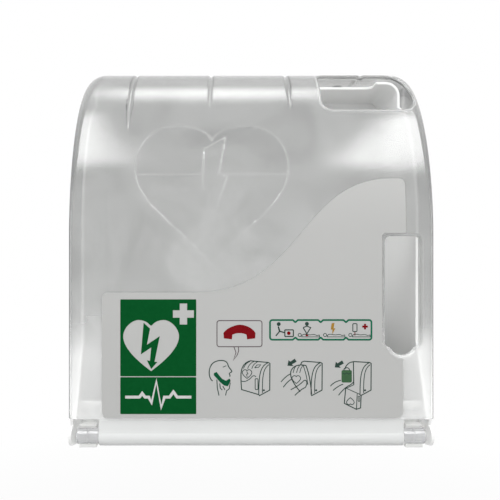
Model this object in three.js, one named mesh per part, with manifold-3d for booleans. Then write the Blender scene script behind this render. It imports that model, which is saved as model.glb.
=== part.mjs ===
// Wall cabinet for a portable defibrillator: a white moulded housing whose clear cover swings down on
// two pins, with an instruction label on the cover and a small door alarm inside. Sizes are millimetres.
// +X is to the right of someone facing the cabinet, +Z is up, and the cover looks along -Y.
// The origin is the middle of the back face, so the wall is the plane Y = 0.
import * as THREE from 'three';
import { mergeVertices } from 'three/addons/utils/BufferGeometryUtils.js';
import Module from 'manifold-3d';

const wasm = await Module();
wasm.setup();

// Whole cabinet
const cabinet_width = 388;
const cabinet_height = 429;
const cabinet_depth = 201;
const fit_gap = 0.3;
const cut_overrun = 2;
const arc_steps = 6;
const round_sides = 20;
const small_sides = 12;
const weld_distance = 0.0005;

// Clear cover: one moulded shell
const cover_wall = 3;
const face_lift = 33.5;
const curve_height = 193;
const curve_depth = 112;
const curve_steps = 16;
const corner_radius_front = 4;
const corner_radius_top = 22;
const corner_steps = 5;
const flange_depth = 50;
const flange_toe_depth = 6;
const flange_taper_height = 77;
const groove_width = 6;
const groove_depth = 2;
const groove_reach = 75;
const groove_fade = 35;
const groove_shares = [0.232, 0.696];
const sill_depth = 8;
const sill_thickness = 3;

// Finger slot near the top of the cover, drawn along the chord between two shares of the curve's turn
const slot_low_share = 0.49;
const slot_high_share = 0.82;
const slot_low_inset = 7;
const slot_high_inset = 34;
const slot_length = 105.5;
const slot_corner = 10;
const slot_bulge = 16;

// Hand opening at the right of the face, with a scalloped lower end and a collar behind it
const opening_inset = 13.8;
const opening_width = 38.6;
const opening_head = 8;
const opening_foot = 76;
const opening_corner = 6;
const scallop_radius = 14.8;
const scallop_rise = 6.5;
const collar_wall = 2.2;
const collar_depth = 8;

// Hinge: a barrel along the lower edge of the cover, with a pin in each end
const barrel_radius = 10.5;
const barrel_wall = 3;
const barrel_inset = 32;
const axis_lift = 13.5;
const leaf_inset = 1.4;
const pin_radius = 8.75;
const pin_end_clearance = 2.5;
const pin_chamfer = 1;
const spigot_length = 18;

// Instruction label on the outside of the cover
const label_thickness = 0.35;
const label_left_inset = 36;
const label_right_inset = 30.5;
const label_side_step = 3;
const label_foot = 2;
const label_low_drop = 67.9;
const label_high_rise = 53.3;
const label_wave_shares = [0.305, 0.669, 0.644, 0.958];
const label_corner = 6;
const label_rim_clearance = 1;
const label_steps = 12;

// White rear housing
const housing_wall = 3;
const rim_depth = 11;
const seam_gap = 1;
const cover_clearance = 1.5;
const lip_reach = 12;
const hood_front = 95;
const housing_corner_low = 5;
const floor_clearance = 12;
const upstand_height = 47;
const notch_inset = 34;
const notch_length = 76;
const notch_depth = 23;
const notch_corner = 9;
const wall_hole_inset_x = 44;
const wall_hole_inset_z = 49.5;
const wall_hole_radius = 2.6;
const boss_radius = 5;
const boss_height = 6;

// Hinge clips, which the pins snap into from the front
const clip_inner_inset = 28;
const clip_outer_inset = 10;
const clip_wall = 3.3;
const clip_mouth_share = 0.4;
const clip_tab_height = 31;
const clip_tab_thickness = 3;
const clip_screw_spacing = 10;
const clip_screw_margin = 6;

// Screws
const screw_shank_radius = 1.5;
const screw_head_radius = 3;
const screw_head_height = 2.2;
const shelf_screw_head_radius = 4;
const screw_tip = 1.2;

// Wall-screw caps and cover bumpers
const cap_radius = 7;
const cap_height = 2.4;
const cap_stem_length = 2;
const bumper_radius = 6;
const bumper_share = 0.619;
const bumper_back = 50;

// Shelf that the defibrillator stands on
const shelf_inset = 44;
const shelf_depth = 128;
const shelf_thickness = 3;
const shelf_rise = 96.5;
const shelf_lip_height = 12;
const shelf_back_height = 38;
const shelf_screw_shares = [0.74, -0.74, 0.25, -0.25];
const shelf_screw_drop = 11;
const shelf_bend = 6;
const gusset_reach = 60;
const gusset_drop = 34;
const pad_side_gap = 25;
const pad_depth = 96;
const pad_thickness = 2;
const pad_corner = 12;
const pad_back = 20;

// Door alarm under the shelf
const alarm_inset = 68;
const alarm_drop = 9;
const alarm_width = 112;
const alarm_height = 66;
const alarm_depth = 34;
const alarm_corner = 7;
const alarm_base_thickness = 2.5;
const alarm_lid_wall = 2.2;
const alarm_front_wall = 3.4;
const post_radius = 3.4;
const post_inset_x = 8;
const post_inset_z = 9;
const lid_screw_length = 9;
const grille_slots = 5;
const grille_pitch = 4.4;
const grille_slot_width = 22;
const grille_slot_height = 2;
const siren_x = -28;
const siren_z = 2;
const siren_radius = 12;
const siren_height = 12;
const siren_port_radius = 2.2;
const siren_port_depth = 4;
const board_width = 46;
const board_height = 44;
const board_thickness = 1.6;
const board_x = -20;
const board_back = 9;
const board_post_radius = 2.2;
const board_post_x = 18;
const lens_x = -6;
const lens_z = 18;
const lens_radius = 2.6;
const lens_flange = 1.4;
const lens_dome = 2;
const switch_x = -8;
const switch_z = -14;
const switch_width = 4;
const switch_height = 4.4;
const switch_travel = 4;
const switch_rise = 2.4;
const switch_flange = 2;
const switch_flange_thickness = 1.3;
const battery_width = 26.5;
const battery_height = 48.5;
const battery_thickness = 17.5;
const battery_x = 30;
const battery_corner = 2.5;
const terminal_radius = 2.8;
const terminal_height = 2;
const battery_rest_thickness = 2;
const door_height = 50;
const door_plate_thickness = 2.2;
const door_tongue = 1.4;
const door_tongue_thickness = 1;
const door_left = 13;
const door_ledge = 2.4;
const grip_ribs = 3;
const grip_pitch = 3;
const grip_rise = 0.8;
const grip_height = 16;
const grip_width = 1.2;
const grip_inset = 8;

// Door sensor: a magnet on the cover and a reed switch on the housing, wired to the alarm
const magnet_width = 20;
const magnet_height = 6;
const magnet_thickness = 4;
const holder_wall = 3;
const holder_depth = 7;
const holder_rise = 13;
const reed_width = 28;
const reed_height = 10;
const reed_thickness = 8;
const reed_corner = 2;
const reed_drop = 9.5;
const wire_radius = 1.4;
const wire_bend = 8;
const wire_side_step = 9;
const wire_back = 20;
const wire_steps = 54;
const wire_sides = 8;
const wire_clip_width = 10;
const wire_clip_length = 7;
const wire_clip_wall = 2;
const wire_clip_shares = [0.34, 0.73];

// Places that follow from the sizes above
const half_width = cabinet_width / 2;
const floor_z = -cabinet_height / 2;
const top_z = cabinet_height / 2;
const front_y = -cabinet_depth;
const face_low = floor_z + face_lift;
const curve_low = top_z - curve_height;
const axis_y = front_y + barrel_radius;
const axis_z = floor_z + axis_lift;
const cover_rear_y = -(rim_depth + seam_gap);
const back_front_y = -housing_wall;
const inner_half_width = half_width - cover_wall - cover_clearance;
const opening_right = half_width - opening_inset;
const opening_left = opening_right - opening_width;
const opening_middle = opening_right - opening_width / 2;
const opening_top = curve_low - opening_head;
const opening_ledge = face_low + opening_foot;
const scallop_z = opening_ledge + scallop_rise;
const barrel_half_length = half_width - barrel_inset;
const clip_inner_end = half_width - clip_inner_inset;
const clip_outer_end = half_width - clip_outer_inset;
const label_left = label_left_inset - half_width;
const label_right = half_width - label_right_inset;
const label_bottom = face_low + label_foot;
const label_low_top = curve_low - label_low_drop;
const label_high_top = curve_low + label_high_rise;
const shelf_top = floor_z + shelf_rise;
const shelf_low = shelf_top - shelf_thickness;
const shelf_width = cabinet_width - 2 * shelf_inset;
const alarm_x = alarm_inset + alarm_width / 2 - half_width;
const alarm_z = shelf_low - alarm_drop - alarm_height / 2;

const clear_plastic = new THREE.MeshStandardMaterial({
  color: 0xb4b8b5,
  roughness: 0.08,
  metalness: 0,
  transparent: true,
  opacity: 0.35,
});
const white_plastic = new THREE.MeshStandardMaterial({ color: 0xe9eae8, roughness: 0.45, metalness: 0 });
const pale_plastic = new THREE.MeshStandardMaterial({ color: 0xd9dad7, roughness: 0.5, metalness: 0 });
const label_film = new THREE.MeshStandardMaterial({ color: 0xc6c6c3, roughness: 0.4, metalness: 0 });
const dark_rubber = new THREE.MeshStandardMaterial({ color: 0x2c2d2e, roughness: 0.8, metalness: 0 });
const zinc_steel = new THREE.MeshStandardMaterial({ color: 0xb8bcc0, roughness: 0.3, metalness: 1 });
const magnet_alloy = new THREE.MeshStandardMaterial({ color: 0x9fa2a4, roughness: 0.35, metalness: 1 });
const board_green = new THREE.MeshStandardMaterial({ color: 0x1d5b38, roughness: 0.5, metalness: 0 });
const black_plastic = new THREE.MeshStandardMaterial({ color: 0x1c1d1e, roughness: 0.4, metalness: 0 });
const lens_red = new THREE.MeshStandardMaterial({ color: 0x9c1f1c, roughness: 0.15, metalness: 0 });
const battery_sleeve = new THREE.MeshStandardMaterial({ color: 0x2f3a45, roughness: 0.4, metalness: 0.2 });

const cabinet = new THREE.Group();

// Solid of a closed geometry, with its shared corners welded and its flat slivers dropped.
function solidOf(geometry) {
  const bare = geometry.clone();
  bare.deleteAttribute('normal');
  bare.deleteAttribute('uv');
  const welded = mergeVertices(bare, weld_distance);
  const corners = welded.index.array;
  const kept = [];
  for (let i = 0; i < corners.length; i += 3) {
    const [a, b, c] = corners.subarray(i, i + 3);
    if (a !== b && b !== c && c !== a) kept.push(a, b, c);
  }
  return new wasm.Manifold(
    new wasm.Mesh({
      numProp: 3,
      vertProperties: welded.attributes.position.array,
      triVerts: new Uint32Array(kept),
    }),
  );
}

function geometryOf(solid) {
  const { numProp, vertProperties, triVerts } = solid.getMesh();
  const places = new Float32Array((vertProperties.length / numProp) * 3);
  for (let i = 0; i * numProp < vertProperties.length; i += 1) {
    places.set(vertProperties.subarray(i * numProp, i * numProp + 3), i * 3);
  }
  const geometry = new THREE.BufferGeometry();
  geometry.setAttribute('position', new THREE.BufferAttribute(places, 3));
  geometry.setIndex(new THREE.BufferAttribute(new Uint32Array(triVerts), 1));
  geometry.computeVertexNormals();
  return geometry;
}

function addPiece(name, solid, material) {
  const piece = new THREE.Mesh(geometryOf(solid), material);
  piece.name = name;
  cabinet.add(piece);
}

const joined = (first, ...others) => others.reduce((sum, other) => sum.add(other), first);
const cutFrom = (body, ...tools) => tools.reduce((rest, tool) => rest.subtract(tool), body);

// An outline is drawn in (y, z) to be swept along x, in (x, z) along y, and in (x, y) along z.
const sweep_turns = {
  x: new THREE.Matrix4().set(0, 0, 1, 0, 1, 0, 0, 0, 0, 1, 0, 0, 0, 0, 0, 1),
  y: new THREE.Matrix4().set(1, 0, 0, 0, 0, 0, -1, 0, 0, 1, 0, 0, 0, 0, 0, 1),
  z: new THREE.Matrix4(),
};

function sweep(outline, axis, from, to, curve_segments = arc_steps) {
  const block = new THREE.ExtrudeGeometry(outline, {
    depth: to - from,
    bevelEnabled: false,
    curveSegments: curve_segments,
  });
  block.translate(0, 0, axis === 'y' ? -to : from);
  return solidOf(block.applyMatrix4(sweep_turns[axis]));
}

// Outline through corners given as [across, up, radius], each rounded with a true arc.
function roundedOutline(corners) {
  const outline = new THREE.Shape();
  corners.forEach(([across, up, radius], index) => {
    const corner = new THREE.Vector2(across, up);
    if (!radius) {
      if (index) outline.lineTo(across, up);
      else outline.moveTo(across, up);
      return;
    }
    const last = new THREE.Vector2(...corners.at(index - 1)).sub(corner).normalize();
    const next = new THREE.Vector2(...corners[(index + 1) % corners.length]).sub(corner).normalize();
    const half_turn = Math.acos(THREE.MathUtils.clamp(last.dot(next), -1, 1)) / 2;
    const start = corner.clone().addScaledVector(last, radius / Math.tan(half_turn));
    const end = corner.clone().addScaledVector(next, radius / Math.tan(half_turn));
    const bisector = last.clone().add(next).normalize();
    const centre = corner.clone().addScaledVector(bisector, radius / Math.sin(half_turn));
    const from = start.sub(centre).angle();
    const to = end.sub(centre).angle();
    outline.absarc(centre.x, centre.y, radius, from, to, last.cross(next) > 0);
  });
  return outline;
}

function roundedBlock(left, right, low, high, radius) {
  return roundedOutline([
    [left, low, radius],
    [right, low, radius],
    [right, high, radius],
    [left, high, radius],
  ]);
}

const plate = (left, right, low, high) => roundedBlock(left, right, low, high, 0);

function disc(across, up, radius) {
  const corners = Array.from({ length: round_sides }, (_, side) => {
    const turn = (2 * Math.PI * side) / round_sides;
    return new THREE.Vector2(across + radius * Math.cos(turn), up + radius * Math.sin(turn));
  });
  return new THREE.Shape(corners);
}

// Piece turned on a lathe. Its profile runs from tail to head as [radius, along], starting and ending on
// the axis, and the piece points along the named axis from the given place.
function lathe(profile, axis, place, sides = round_sides) {
  const points = profile.map(([radius, along]) => new THREE.Vector2(radius, along));
  const turned = new THREE.LatheGeometry(points, sides);
  if (axis === 'x') turned.rotateZ(-Math.PI / 2);
  if (axis === 'z') turned.rotateX(Math.PI / 2);
  turned.translate(...place);
  return solidOf(turned);
}

const mirrored = (solid) => solid.mirror([1, 0, 0]);

// The cover's outer profile, from the lower edge of its face up over the curve to its rear edge. Each
// station has a place in (y, z) and an outward normal.
function curveStation(turn) {
  const tangent = new THREE.Vector2(curve_depth * Math.sin(turn), curve_height * Math.cos(turn));
  tangent.normalize();
  return {
    y: front_y + curve_depth * (1 - Math.cos(turn)),
    z: curve_low + curve_height * Math.sin(turn),
    normal_y: -tangent.y,
    normal_z: tangent.x,
  };
}

const face_station = (z) => ({ y: front_y, z, normal_y: -1, normal_z: 0 });
const curve_stations = Array.from({ length: curve_steps + 1 }, (_, step) =>
  curveStation(((Math.PI / 2) * step) / curve_steps),
);
const stations = [
  face_station(face_low),
  face_station(face_low + flange_taper_height),
  ...curve_stations,
  { y: cover_rear_y, z: top_z, normal_y: 0, normal_z: 1 },
];

const inward = (station, depth) =>
  new THREE.Vector2(station.y - station.normal_y * depth, station.z - station.normal_z * depth);

function flangeDepth(station) {
  const climb = THREE.MathUtils.clamp((station.z - face_low) / flange_taper_height, 0, 1);
  return THREE.MathUtils.lerp(flange_toe_depth, flange_depth, climb);
}

const cornerRadius = (station) =>
  THREE.MathUtils.lerp(corner_radius_front, corner_radius_top, station.normal_z);

const grooveDepth = (station) =>
  groove_depth * THREE.MathUtils.smoothstep(station.z - top_z + groove_reach, 0, groove_fade);

// Band in (y, z) between two depths behind the outer profile.
function profileBand(near, far, places) {
  const front = places.map((station) => inward(station, near(station)));
  const rear = places.map((station) => inward(station, far(station)));
  return new THREE.Shape([...front, ...rear.reverse()]);
}

// Section of the cover across one station: a channel whose web carries the grooves and whose two flanges
// turn back round the corners. Points are [x, depth behind the profile].
function coverSection(station) {
  const radius = cornerRadius(station);
  const groove = grooveDepth(station);
  const outer = [];
  const inner = [];
  groove_shares.forEach((share) => {
    const middle = share * half_width;
    [-1, 0, 1].forEach((side) => {
      const x = middle + (side * groove_width) / 2;
      const dip = side ? 0 : groove;
      outer.push([x, dip]);
      inner.push([x, dip + cover_wall]);
    });
  });
  for (let step = 0; step <= corner_steps; step += 1) {
    const turn = ((Math.PI / 2) * step) / corner_steps;
    const centre = half_width - radius;
    const inner_radius = radius - cover_wall;
    outer.push([centre + radius * Math.sin(turn), radius * (1 - Math.cos(turn))]);
    inner.push([centre + inner_radius * Math.sin(turn), radius - inner_radius * Math.cos(turn)]);
  }
  outer.push([half_width, flangeDepth(station)]);
  inner.push([half_width - cover_wall, flangeDepth(station)]);
  const mirror = ([x, depth]) => [-x, depth];
  const whole = (right) => [...right.map(mirror).reverse(), ...right];
  return [...whole(outer), ...whole(inner).reverse()].map(([x, depth]) => {
    const { x: y, y: z } = inward(station, depth);
    return new THREE.Vector3(x, y, z);
  });
}

// Shell lofted through channel sections, each half outer and half inner points.
function channelLoft(sections) {
  const count = sections[0].length;
  const corners = [];
  sections.slice(1).forEach((section, index) => {
    const last = sections[index];
    section.forEach((point, i) => {
      const j = (i + 1) % count;
      corners.push(last[i], last[j], section[j], last[i], section[j], point);
    });
  });
  const first = sections[0];
  const final = sections.at(-1);
  for (let i = 0; i + 1 < count / 2; i += 1) {
    const a = count - 1 - i;
    corners.push(first[i], first[a - 1], first[i + 1], first[i], first[a], first[a - 1]);
    corners.push(final[i], final[i + 1], final[a - 1], final[i], final[a - 1], final[a]);
  }
  return solidOf(new THREE.BufferGeometry().setFromPoints(corners));
}

// Outline of the hand opening, grown on every side to give its collar.
function openingOutline(grow) {
  const left = opening_left - grow;
  const right = opening_right + grow;
  const dip_radius = scallop_radius + grow;
  const reach = Math.asin(THREE.MathUtils.clamp((scallop_rise + grow) / dip_radius, 0, 1));
  const corner = opening_corner + grow;
  const shoulder = opening_ledge + opening_corner;
  const outline = new THREE.Shape();
  outline.absarc(right - corner, opening_top + grow - corner, corner, 0, Math.PI / 2);
  outline.absarc(left + corner, opening_top + grow - corner, corner, Math.PI / 2, Math.PI);
  outline.absarc(left + corner, shoulder, corner, Math.PI, Math.PI * 1.5);
  outline.absarc(opening_middle, scallop_z, dip_radius, Math.PI + reach, Math.PI * 2 - reach);
  outline.absarc(right - corner, shoulder, corner, Math.PI * 1.5, Math.PI * 2);
  return outline;
}

// Cutter of the finger slot: a prism square to the chord of the curve under it.
function slotCutter() {
  const low = curveStation(slot_low_share * Math.PI / 2);
  const high = curveStation(slot_high_share * Math.PI / 2);
  const chord = new THREE.Vector3(0, high.y - low.y, high.z - low.z);
  const length = chord.length();
  const along = chord.clone().normalize();
  const across = new THREE.Vector3(1, 0, 0);
  const right = half_width - slot_low_inset;
  const outline = roundedOutline([
    [right - slot_length, 0, slot_corner],
    [right, 0, slot_corner],
    [half_width - slot_high_inset, length, slot_corner],
    [right - slot_length, length, slot_corner],
  ]);
  const block = new THREE.ExtrudeGeometry(outline, {
    depth: 2 * slot_bulge,
    bevelEnabled: false,
    curveSegments: arc_steps,
  });
  block.translate(0, 0, -slot_bulge);
  const frame = new THREE.Matrix4().makeBasis(across, along, across.clone().cross(along));
  frame.setPosition(0, low.y, low.z);
  return solidOf(block.applyMatrix4(frame));
}

// Clear cover, with its sill, hinge leaf, hollow barrel and the collar of its hand opening
const cover_shell = channelLoft(stations.map(coverSection));
const sill_half_length = inner_half_width - housing_wall - cover_clearance;
const sill = sweep(
  plate(front_y + cover_wall / 2, front_y + sill_depth, face_low, face_low + sill_thickness),
  'x',
  -sill_half_length,
  sill_half_length,
);
const leaf = sweep(
  plate(front_y + leaf_inset, front_y + leaf_inset + cover_wall, axis_z, face_low + sill_thickness / 2),
  'x',
  -barrel_half_length,
  barrel_half_length,
);
const barrel = sweep(disc(axis_y, axis_z, barrel_radius), 'x', -barrel_half_length, barrel_half_length);
const bore = sweep(
  disc(axis_y, axis_z, barrel_radius - barrel_wall),
  'x',
  -barrel_half_length - cut_overrun,
  barrel_half_length + cut_overrun,
);
const collar = sweep(openingOutline(collar_wall), 'y', front_y + cover_wall / 2, front_y + collar_depth);
const hand_cut = sweep(openingOutline(0), 'y', front_y - cut_overrun, front_y + collar_depth + cut_overrun);
addPiece(
  'clear_cover',
  cutFrom(joined(cover_shell, sill, leaf, barrel, collar), bore, hand_cut, slotCutter()),
  clear_plastic,
);

// Hinge pins, pressed into the barrel's ends
const spigot_radius = barrel_radius - barrel_wall - fit_gap;
const pin_start = barrel_half_length + fit_gap;
const pin_end = inner_half_width - pin_end_clearance;
const pin = lathe(
  [
    [0, barrel_half_length - spigot_length],
    [spigot_radius, barrel_half_length - spigot_length],
    [spigot_radius, pin_start],
    [pin_radius, pin_start],
    [pin_radius, pin_end - pin_chamfer],
    [pin_radius - pin_chamfer, pin_end],
    [0, pin_end],
  ],
  'x',
  [0, axis_y, axis_z],
);
addPiece('pivot_right', pin, clear_plastic);
addPiece('pivot_left', mirrored(pin), clear_plastic);

// Label film: a thin skin on the cover's outer profile, trimmed to its outline as seen from the front
function labelOutline() {
  const opening_side = opening_left - collar_wall - label_rim_clearance;
  const scallop = scallop_radius + collar_wall + label_rim_clearance;
  const low_right = label_right - label_side_step;
  const meet = Math.acos(THREE.MathUtils.clamp((low_right - opening_middle) / scallop, -1, 1));
  const side = Math.acos(THREE.MathUtils.clamp((opening_side - opening_middle) / scallop, -1, 1));
  const above_opening = opening_top + collar_wall + label_rim_clearance;
  const [wave_start, high_pull, low_pull, wave_end] = label_wave_shares.map((share) =>
    THREE.MathUtils.lerp(label_left, label_right, share),
  );
  const outline = new THREE.Shape();
  outline.moveTo(label_left, label_low_top - label_corner);
  outline.lineTo(label_left, label_bottom + label_corner);
  outline.absarc(
    label_left + label_corner,
    label_bottom + label_corner,
    label_corner,
    Math.PI,
    Math.PI * 1.5,
  );
  outline.absarc(low_right - label_corner, label_bottom + label_corner, label_corner, -Math.PI / 2, 0);
  outline.absarc(opening_middle, scallop_z, scallop, -meet, -side, true);
  outline.lineTo(opening_side, above_opening);
  outline.lineTo(label_right, above_opening);
  outline.absarc(label_right - label_corner, label_high_top - label_corner, label_corner, 0, Math.PI / 2);
  outline.lineTo(wave_end, label_high_top);
  outline.bezierCurveTo(
    high_pull,
    label_high_top,
    low_pull,
    label_low_top,
    wave_start,
    label_low_top,
  );
  outline.absarc(
    label_left + label_corner,
    label_low_top - label_corner,
    label_corner,
    Math.PI / 2,
    Math.PI,
  );
  return outline;
}

const label_skin = profileBand(
  () => -(fit_gap + label_thickness),
  () => -fit_gap,
  stations.filter((station) => station.normal_z < 1),
);
addPiece(
  'instruction_label',
  sweep(label_skin, 'x', label_left - cut_overrun, label_right + cut_overrun).intersect(
    sweep(labelOutline(), 'y', front_y - cut_overrun, front_y + curve_depth, label_steps),
  ),
  label_film,
);

// Rear housing: back wall and rim, floor and upstand, side panels that follow the cover's flange, a lip
// that steps in under the flange, and a hood under the cover's top
const seamDepth = (station) => flangeDepth(station) + seam_gap;
const lipRear = (station) => seamDepth(station) + housing_wall;
const lipFront = (station) =>
  Math.max(flangeDepth(station) - lip_reach, cover_wall + cover_clearance);
const lip_inside = inner_half_width - housing_wall;
const hood_drop = cover_wall + groove_depth + cover_clearance;
const hood_top = top_z - hood_drop;
const hood_corner = corner_radius_top - cover_wall - cover_clearance;
const floor_front_y = axis_y + floor_clearance;

function sidePanelOutline() {
  const outline = new THREE.Shape();
  outline.moveTo(0, floor_z);
  outline.lineTo(floor_front_y, floor_z);
  outline.absarc(axis_y, axis_z, barrel_radius, -Math.PI / 2, Math.PI / 2, true);
  stations.forEach((station) => {
    const place = inward(station, seamDepth(station));
    outline.lineTo(place.x, place.y);
  });
  outline.lineTo(0, top_z - seamDepth(stations.at(-1)));
  return outline;
}

const frontOutline = (inset, low_radius, top_radius) =>
  roundedOutline([
    [inset - half_width, floor_z, low_radius],
    [half_width - inset, floor_z, low_radius],
    [half_width - inset, top_z - inset, top_radius],
    [inset - half_width, top_z - inset, top_radius],
  ]);

const tray = sweep(frontOutline(0, 0, corner_radius_top), 'y', -rim_depth, 0);
const tray_hollow = sweep(
  roundedOutline([
    [-lip_inside, floor_z + housing_wall, 0],
    [lip_inside, floor_z + housing_wall, 0],
    [lip_inside, hood_top - housing_wall, hood_corner - housing_wall],
    [-lip_inside, hood_top - housing_wall, hood_corner - housing_wall],
  ]),
  'y',
  -rim_depth - cut_overrun,
  back_front_y,
);
const side_panel = sweep(sidePanelOutline(), 'x', half_width - housing_wall, half_width);
const step = sweep(profileBand(seamDepth, lipRear, stations), 'x', lip_inside, half_width);
const lip = sweep(profileBand(lipFront, lipRear, stations), 'x', lip_inside, inner_half_width);
const side_wall = joined(side_panel, step, lip);

const hood_low = top_z - lipRear(stations.at(-1));
const hoodOutline = (inset, low) =>
  roundedOutline([
    [inset - inner_half_width, low, 0],
    [inner_half_width - inset, low, 0],
    [inner_half_width - inset, hood_top - inset, hood_corner - inset],
    [inset - inner_half_width, hood_top - inset, hood_corner - inset],
  ]);
const hood_outside = sweep(hoodOutline(0, hood_low), 'y', -hood_front, back_front_y);
const hood_inside = sweep(
  hoodOutline(housing_wall, hood_low - cut_overrun),
  'y',
  -hood_front - cut_overrun,
  back_front_y + cut_overrun,
);
const finger_notch = sweep(
  roundedBlock(
    half_width - notch_inset - notch_length,
    half_width - notch_inset,
    -hood_front - 2 * notch_corner,
    notch_depth - hood_front,
    notch_corner,
  ),
  'z',
  hood_top - corner_radius_top / 2,
  hood_top + cut_overrun,
);
const hood = cutFrom(hood_outside, hood_inside, finger_notch);

const floor_panel = sweep(
  plate(floor_front_y, 0, floor_z, floor_z + housing_wall),
  'x',
  -half_width,
  half_width,
);
const upstand = sweep(
  plate(floor_front_y, floor_front_y + housing_wall, floor_z, floor_z + upstand_height),
  'x',
  -inner_half_width,
  inner_half_width,
);
const upstand_ties = sweep(
  plate(floor_front_y, floor_front_y + housing_wall, floor_z, floor_z + upstand_height),
  'x',
  lip_inside,
  half_width,
);

const wall_holes = [1, -1].flatMap((x_side) =>
  [1, -1].map((z_side) => [
    x_side * (half_width - wall_hole_inset_x),
    z_side * (top_z - wall_hole_inset_z),
  ]),
);
const shelf_screw_z = shelf_top + shelf_back_height - shelf_screw_drop;
const shelf_screws = shelf_screw_shares.map((share) => [share * (shelf_width / 2), shelf_screw_z]);
const bosses = shelf_screws.map(([x, z]) =>
  sweep(disc(x, z, boss_radius), 'y', back_front_y - boss_height, back_front_y + housing_wall / 2),
);
const pilot_radius = screw_shank_radius + fit_gap;
const pilot_holes = shelf_screws.map(([x, z]) =>
  sweep(disc(x, z, pilot_radius), 'y', back_front_y - boss_height - cut_overrun, back_front_y),
);
const wall_cuts = wall_holes.map(([x, z]) =>
  sweep(disc(x, z, wall_hole_radius), 'y', back_front_y - cut_overrun, cut_overrun),
);
const clip_middle = (clip_inner_end + clip_outer_end) / 2;
const clip_screw_z = axis_z + clip_tab_height - clip_screw_margin;
const hinge_screws = [-1, 1].flatMap((side) =>
  [-1, 1].map((end) => [side * clip_middle + (end * clip_screw_spacing) / 2, clip_screw_z]),
);
const hinge_screw_cuts = hinge_screws.map(([x, z]) =>
  sweep(
    disc(x, z, pilot_radius),
    'y',
    floor_front_y - cut_overrun,
    floor_front_y + housing_wall + cut_overrun,
  ),
);
const housing_body = joined(
  cutFrom(tray, tray_hollow),
  side_wall,
  mirrored(side_wall),
  hood,
  floor_panel,
  upstand,
  upstand_ties,
  mirrored(upstand_ties),
  ...bosses,
);
addPiece(
  'rear_housing',
  cutFrom(housing_body, ...pilot_holes, ...wall_cuts, ...hinge_screw_cuts).intersect(
    sweep(frontOutline(0, housing_corner_low, corner_radius_top), 'y', front_y - cut_overrun, 0),
  ),
  white_plastic,
);

// Caps over the four wall-screw holes
const cap_stem_radius = wall_hole_radius - fit_gap;
wall_holes.forEach(([x, z], index) => {
  const cap = lathe(
    [
      [0, cap_stem_length],
      [cap_stem_radius, cap_stem_length],
      [cap_stem_radius, -fit_gap],
      [cap_radius, -fit_gap],
      [cap_radius, -cap_height / 2],
      [cap_radius * Math.SQRT1_2, -cap_height],
      [0, -cap_height],
    ].reverse(),
    'y',
    [x, back_front_y, z],
    small_sides,
  );
  addPiece(`wall_cap_${index + 1}`, cap, white_plastic);
});

// Rubber bumpers on the hood, under the cover's top
const bumper_height = groove_depth + cover_clearance - 2 * fit_gap;
[1, -1].forEach((side) => {
  const bumper = lathe(
    [
      [0, fit_gap],
      [bumper_radius, fit_gap],
      [bumper_radius, fit_gap + bumper_height / 2],
      [bumper_radius - bumper_height / 2, fit_gap + bumper_height],
      [0, fit_gap + bumper_height],
    ],
    'z',
    [side * bumper_share * half_width, -bumper_back, hood_top],
  );
  addPiece(side > 0 ? 'cover_bumper_right' : 'cover_bumper_left', bumper, dark_rubber);
});

// Hinge clips: a ring with an open mouth that grips the pin, and a tab screwed to the upstand
const clip_bore = pin_radius + fit_gap;
const clip_outside = clip_bore + clip_wall;
const clip_rear_y = floor_front_y - fit_gap;

function clipOutline() {
  const mouth = clip_mouth_share * Math.PI;
  const tab_top = axis_z + clip_tab_height;
  const outline = new THREE.Shape();
  outline.moveTo(clip_rear_y, tab_top);
  outline.lineTo(clip_rear_y - clip_tab_thickness, tab_top);
  outline.lineTo(clip_rear_y - clip_tab_thickness, axis_z + clip_outside);
  outline.absarc(axis_y, axis_z, clip_outside, Math.PI / 2, Math.PI - mouth);
  outline.absarc(axis_y, axis_z, clip_bore, Math.PI - mouth, Math.PI + mouth, true);
  outline.absarc(axis_y, axis_z, clip_outside, Math.PI + mouth, Math.PI * 1.5);
  outline.lineTo(clip_rear_y, axis_z - clip_outside);
  return outline;
}

const clip_blank = sweep(clipOutline(), 'x', clip_inner_end, clip_outer_end);
const clip_screw_holes = hinge_screws
  .filter(([x]) => x > 0)
  .map(([x, z]) => sweep(disc(x, z, pilot_radius), 'y', front_y, clip_rear_y + cut_overrun));
const clip = cutFrom(clip_blank, ...clip_screw_holes);
addPiece('hinge_clip_right', clip, pale_plastic);
addPiece('hinge_clip_left', mirrored(clip), pale_plastic);

// Pan-head screw driven towards the wall, its head seated on the face at the given place
function screw(x, seat_y, z, head_radius, length) {
  return lathe(
    [
      [0, -fit_gap - screw_head_height],
      [head_radius * Math.SQRT1_2, -fit_gap - screw_head_height],
      [head_radius, -fit_gap - screw_head_height / 2],
      [head_radius, -fit_gap],
      [screw_shank_radius, -fit_gap],
      [screw_shank_radius, length - screw_tip],
      [0, length],
    ],
    'y',
    [x, seat_y, z],
    small_sides,
  );
}

const hinge_screw_length = clip_tab_thickness + fit_gap + housing_wall + cut_overrun;
hinge_screws.forEach(([x, z], index) => {
  const fixing = screw(x, clip_rear_y - clip_tab_thickness, z, screw_head_radius, hinge_screw_length);
  addPiece(`hinge_screw_${index + 1}`, fixing, zinc_steel);
});

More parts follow.
